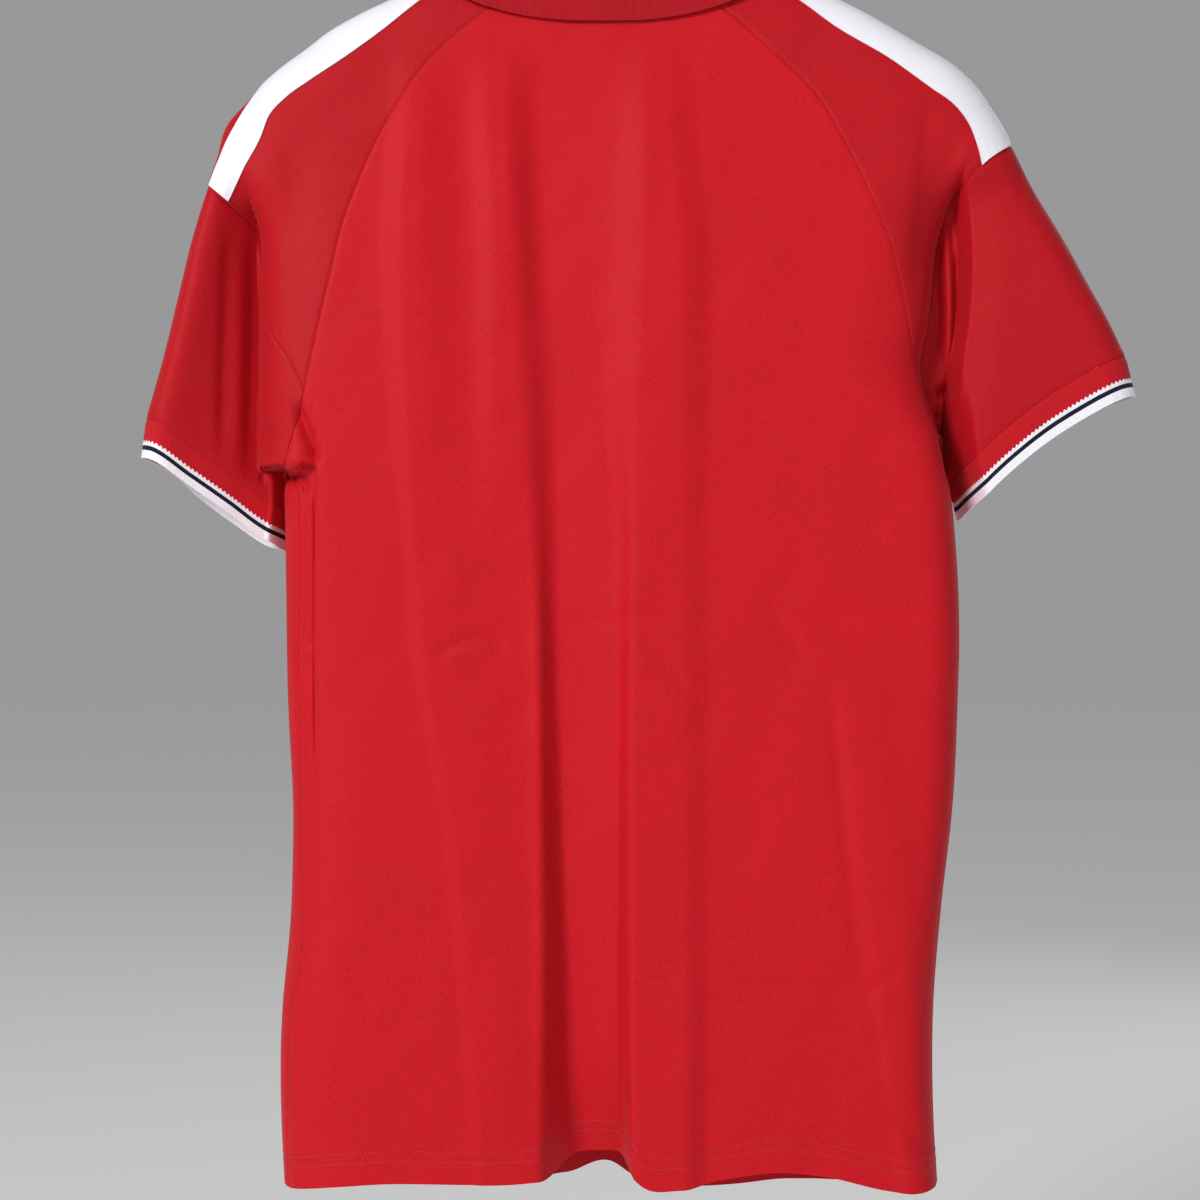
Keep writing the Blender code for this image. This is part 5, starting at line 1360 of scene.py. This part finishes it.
def mesh_knit():
    """Collar of knitted polyester mesh: matt, with small hollows 1.6 mm apart both ways, painted a little
    darker than the yarn that slants between them as painted shade in the hollows."""
    made = new_material("knitted mesh collar", "B40F1E", 0.75, Sheen_Weight=0.05, Specular_IOR_Level=0.16)
    place = cloth_place(made)
    slants = [wave(made, add(made, "Math", *place, operation=way), 1.6) for way in ("ADD", "SUBTRACT")]
    grain = add(made, "Math", *slants, operation="MULTIPLY")
    # Painted shade: the colour is darker where the grain is low, in the hollows of the mesh.
    value = add(made, "Math", grain, 0.12, 0.94, operation="MULTIPLY_ADD")
    link(made, add(made, "HueSaturation", 0.5, 1.0, value, 1.0, linear("B40F1E")), "Base Color")
    link(made, add(made, "Bump", 0.6, 0.0006, None, grain), "Normal")
    return made


def sewing_thread():
    """Red spun polyester thread: slightly glossier than the knit."""
    return new_material("red polyester thread", "A81222", 0.45, Sheen_Weight=0.2)


def moulded_abs():
    """Black injection-moulded ABS: satin, with a very fine spark-eroded texture, its pits 0.7 mm apart."""
    made = new_material("injection-moulded black ABS", "17181A", 0.42)
    noise = add(made, "TexNoise", add(made, "TexCoord", output="Object"), 1400.0, 2.0)
    link(made, add(made, "Bump", 0.25, 0.0002, None, noise), "Normal")
    return made


def plated_steel():
    """Bright nickel-plated steel wire: mirror-like, with an uneven polish in spots 3 mm apart."""
    made = new_material("nickel-plated steel wire", "C9C8C4", 0.2, Metallic=1.0)
    noise = add(made, "TexNoise", add(made, "TexCoord", output="Object"), 300.0, 2.0)
    link(made, add(made, "Math", noise, 0.12, 0.14, operation="MULTIPLY_ADD"), "Roughness")
    return made


# ---------------------------------------------------------------- assembly

def declare(node):
    """Hides the model's solid that a cloth piece stands for."""
    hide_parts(node)


def garment():
    """Cuts every piece as a grid, joins their normals at the seams, and sews the walls, tapes and hems."""
    grids = {"back_panel": back_panel(), "front_panel": front_panel()}
    shoulders = {side: shoulder(side) for side in SIDES}
    # The edges with a seam, as the grid's axis and end.
    seamed = {"back_panel": [(0, 0), (0, 1)], "front_panel": [(0, 0), (0, 1)]}
    tubes = []
    for side in SIDES:
        grids["shoulder_" + side] = shoulders[side]
        grids["sleeve_" + side] = sleeve(side, shoulders[side])
        grids["cuff_" + side] = cuff(side, grids["sleeve_" + side])
        tubes += ["sleeve_" + side, "cuff_" + side]
        seamed["shoulder_" + side] = [(0, 0), (0, 1), (1, 1)]
        seamed["sleeve_" + side] = [(1, 0), (1, 1)]
        seamed["cuff_" + side] = [(1, 0)]
    # Normals point out of the garment on every piece.
    for name in ("front_panel", "shoulder_left", "sleeve_left", "cuff_left"):
        grids[name] = grids[name][::-1]
    normals = shared_normals(grids, tubes)
    # The shoulders and sleeves are cut with their wales turned, and get a darker base colour than the body:
    # painted shade, standing in for the weaker sheen of the turned wales and the shade on the sleeves.
    finish = {"knit": interlock_knit("polyester interlock knit", "BE0E1C"),
              "knit with painted shade": interlock_knit("polyester interlock knit, wales turned, painted darker", "B10C19"),
              "tape": woven_tape(), "rib": banded_rib(), "collar": mesh_knit(), "thread": sewing_thread()}
    for name, grid in grids.items():
        slot_name = "rib" if name.startswith("cuff") else "knit"
        # Shoulders and sleeves take the copy of the knit whose darker base colour is painted shade.
        cloth = "knit with painted shade" if name.startswith(("shoulder", "sleeve")) else slot_name
        outward = unit(finer_borders(normals[name], seamed[name]))
        drawn = rolled_edges(finer_borders(grid, seamed[name]), outward, seamed[name])
        piece = cloth_wall(name + "_cloth", drawn, outward, CLOTH, finish[cloth], name in tubes)
        if name.endswith("panel"):
            lines = [(points + lift * (CLOTH / 2 + STITCH_LIFT), lift)
                     for points, lift in (point_at(drawn, outward, inset) for inset in HEM_ROWS)]
            stitches(name + "_hem_stitches", lines, finish["thread"])
        declare(name)
    for side in SIDES:
        # The columns of both shoulders are counted from the back.
        step = int(SIGN[side])
        lines = (rows["shoulder_" + side][::step] for rows in (grids, normals))
        tape, lift = tape_on(*lines, side)
        piece = cloth_wall("stripe_" + side + "_tape", tape, lift, TAPE, finish["tape"])
        declare("stripe_" + side)
    rows = collar(shoulders)
    piece = cloth_wall("collar_mesh", rows, grid_normals(rows, False), COLLAR_KNIT, finish["collar"])
    declare("collar")


def hanger():
    """Adds the bar and the hook."""
    bar = hanger_arms(moulded_abs())
    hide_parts("hanger_arms")
    hook = hanger_hook(plated_steel())
    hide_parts("hanger_hook")


garment()
hanger()


# ---------------------------------------------------------------- studio

def studio():
    """Floor, lights, pale surroundings, and a camera level with the garment's middle, behind the wearer."""
    scene = bpy.context.scene
    mesh = bpy.data.meshes.new("studio_floor")
    square = ((-1, -1), (1, -1), (1, 1), (-1, 1))
    mesh.from_pydata([(FLOOR_REACH * x, FLOOR_REACH * y, FLOOR_HEIGHT) for x, y in square], [], [range(4)])
    mesh.materials.append(new_material("matt pale floor paint", "FFFFFF", 1.0))
    floor = bpy.data.objects.new("studio_floor", mesh)
    scene.collection.objects.link(floor)
    for name, place, aim, power, size in STUDIO_LIGHTS:
        data = bpy.data.lights.new(name, "AREA")
        data.shape = "RECTANGLE"
        data.size, data.size_y = size
        data.energy = power
        lamp = bpy.data.objects.new(name, data)
        lamp.location = place
        lamp.rotation_euler = (Vector(aim) - Vector(place)).to_track_quat("-Z", "Y").to_euler()
        scene.collection.objects.link(lamp)
    world = bpy.data.worlds.new("pale studio")
    world.use_nodes = True
    background = world.node_tree.nodes["Background"]
    background.inputs["Color"].default_value = linear("F4F4F6")
    background.inputs["Strength"].default_value = WORLD_LIGHT
    scene.world = world
    lens = bpy.data.cameras.new("camera")
    lens.lens = CAMERA_LENS
    lens.sensor_width = CAMERA_SENSOR
    camera = bpy.data.objects.new("camera", lens)
    camera.location = CAMERA_PLACE
    camera.rotation_euler = (math.pi / 2, 0, 0)
    scene.collection.objects.link(camera)
    scene.camera = camera
    scene.view_settings.view_transform = "Standard"


studio()
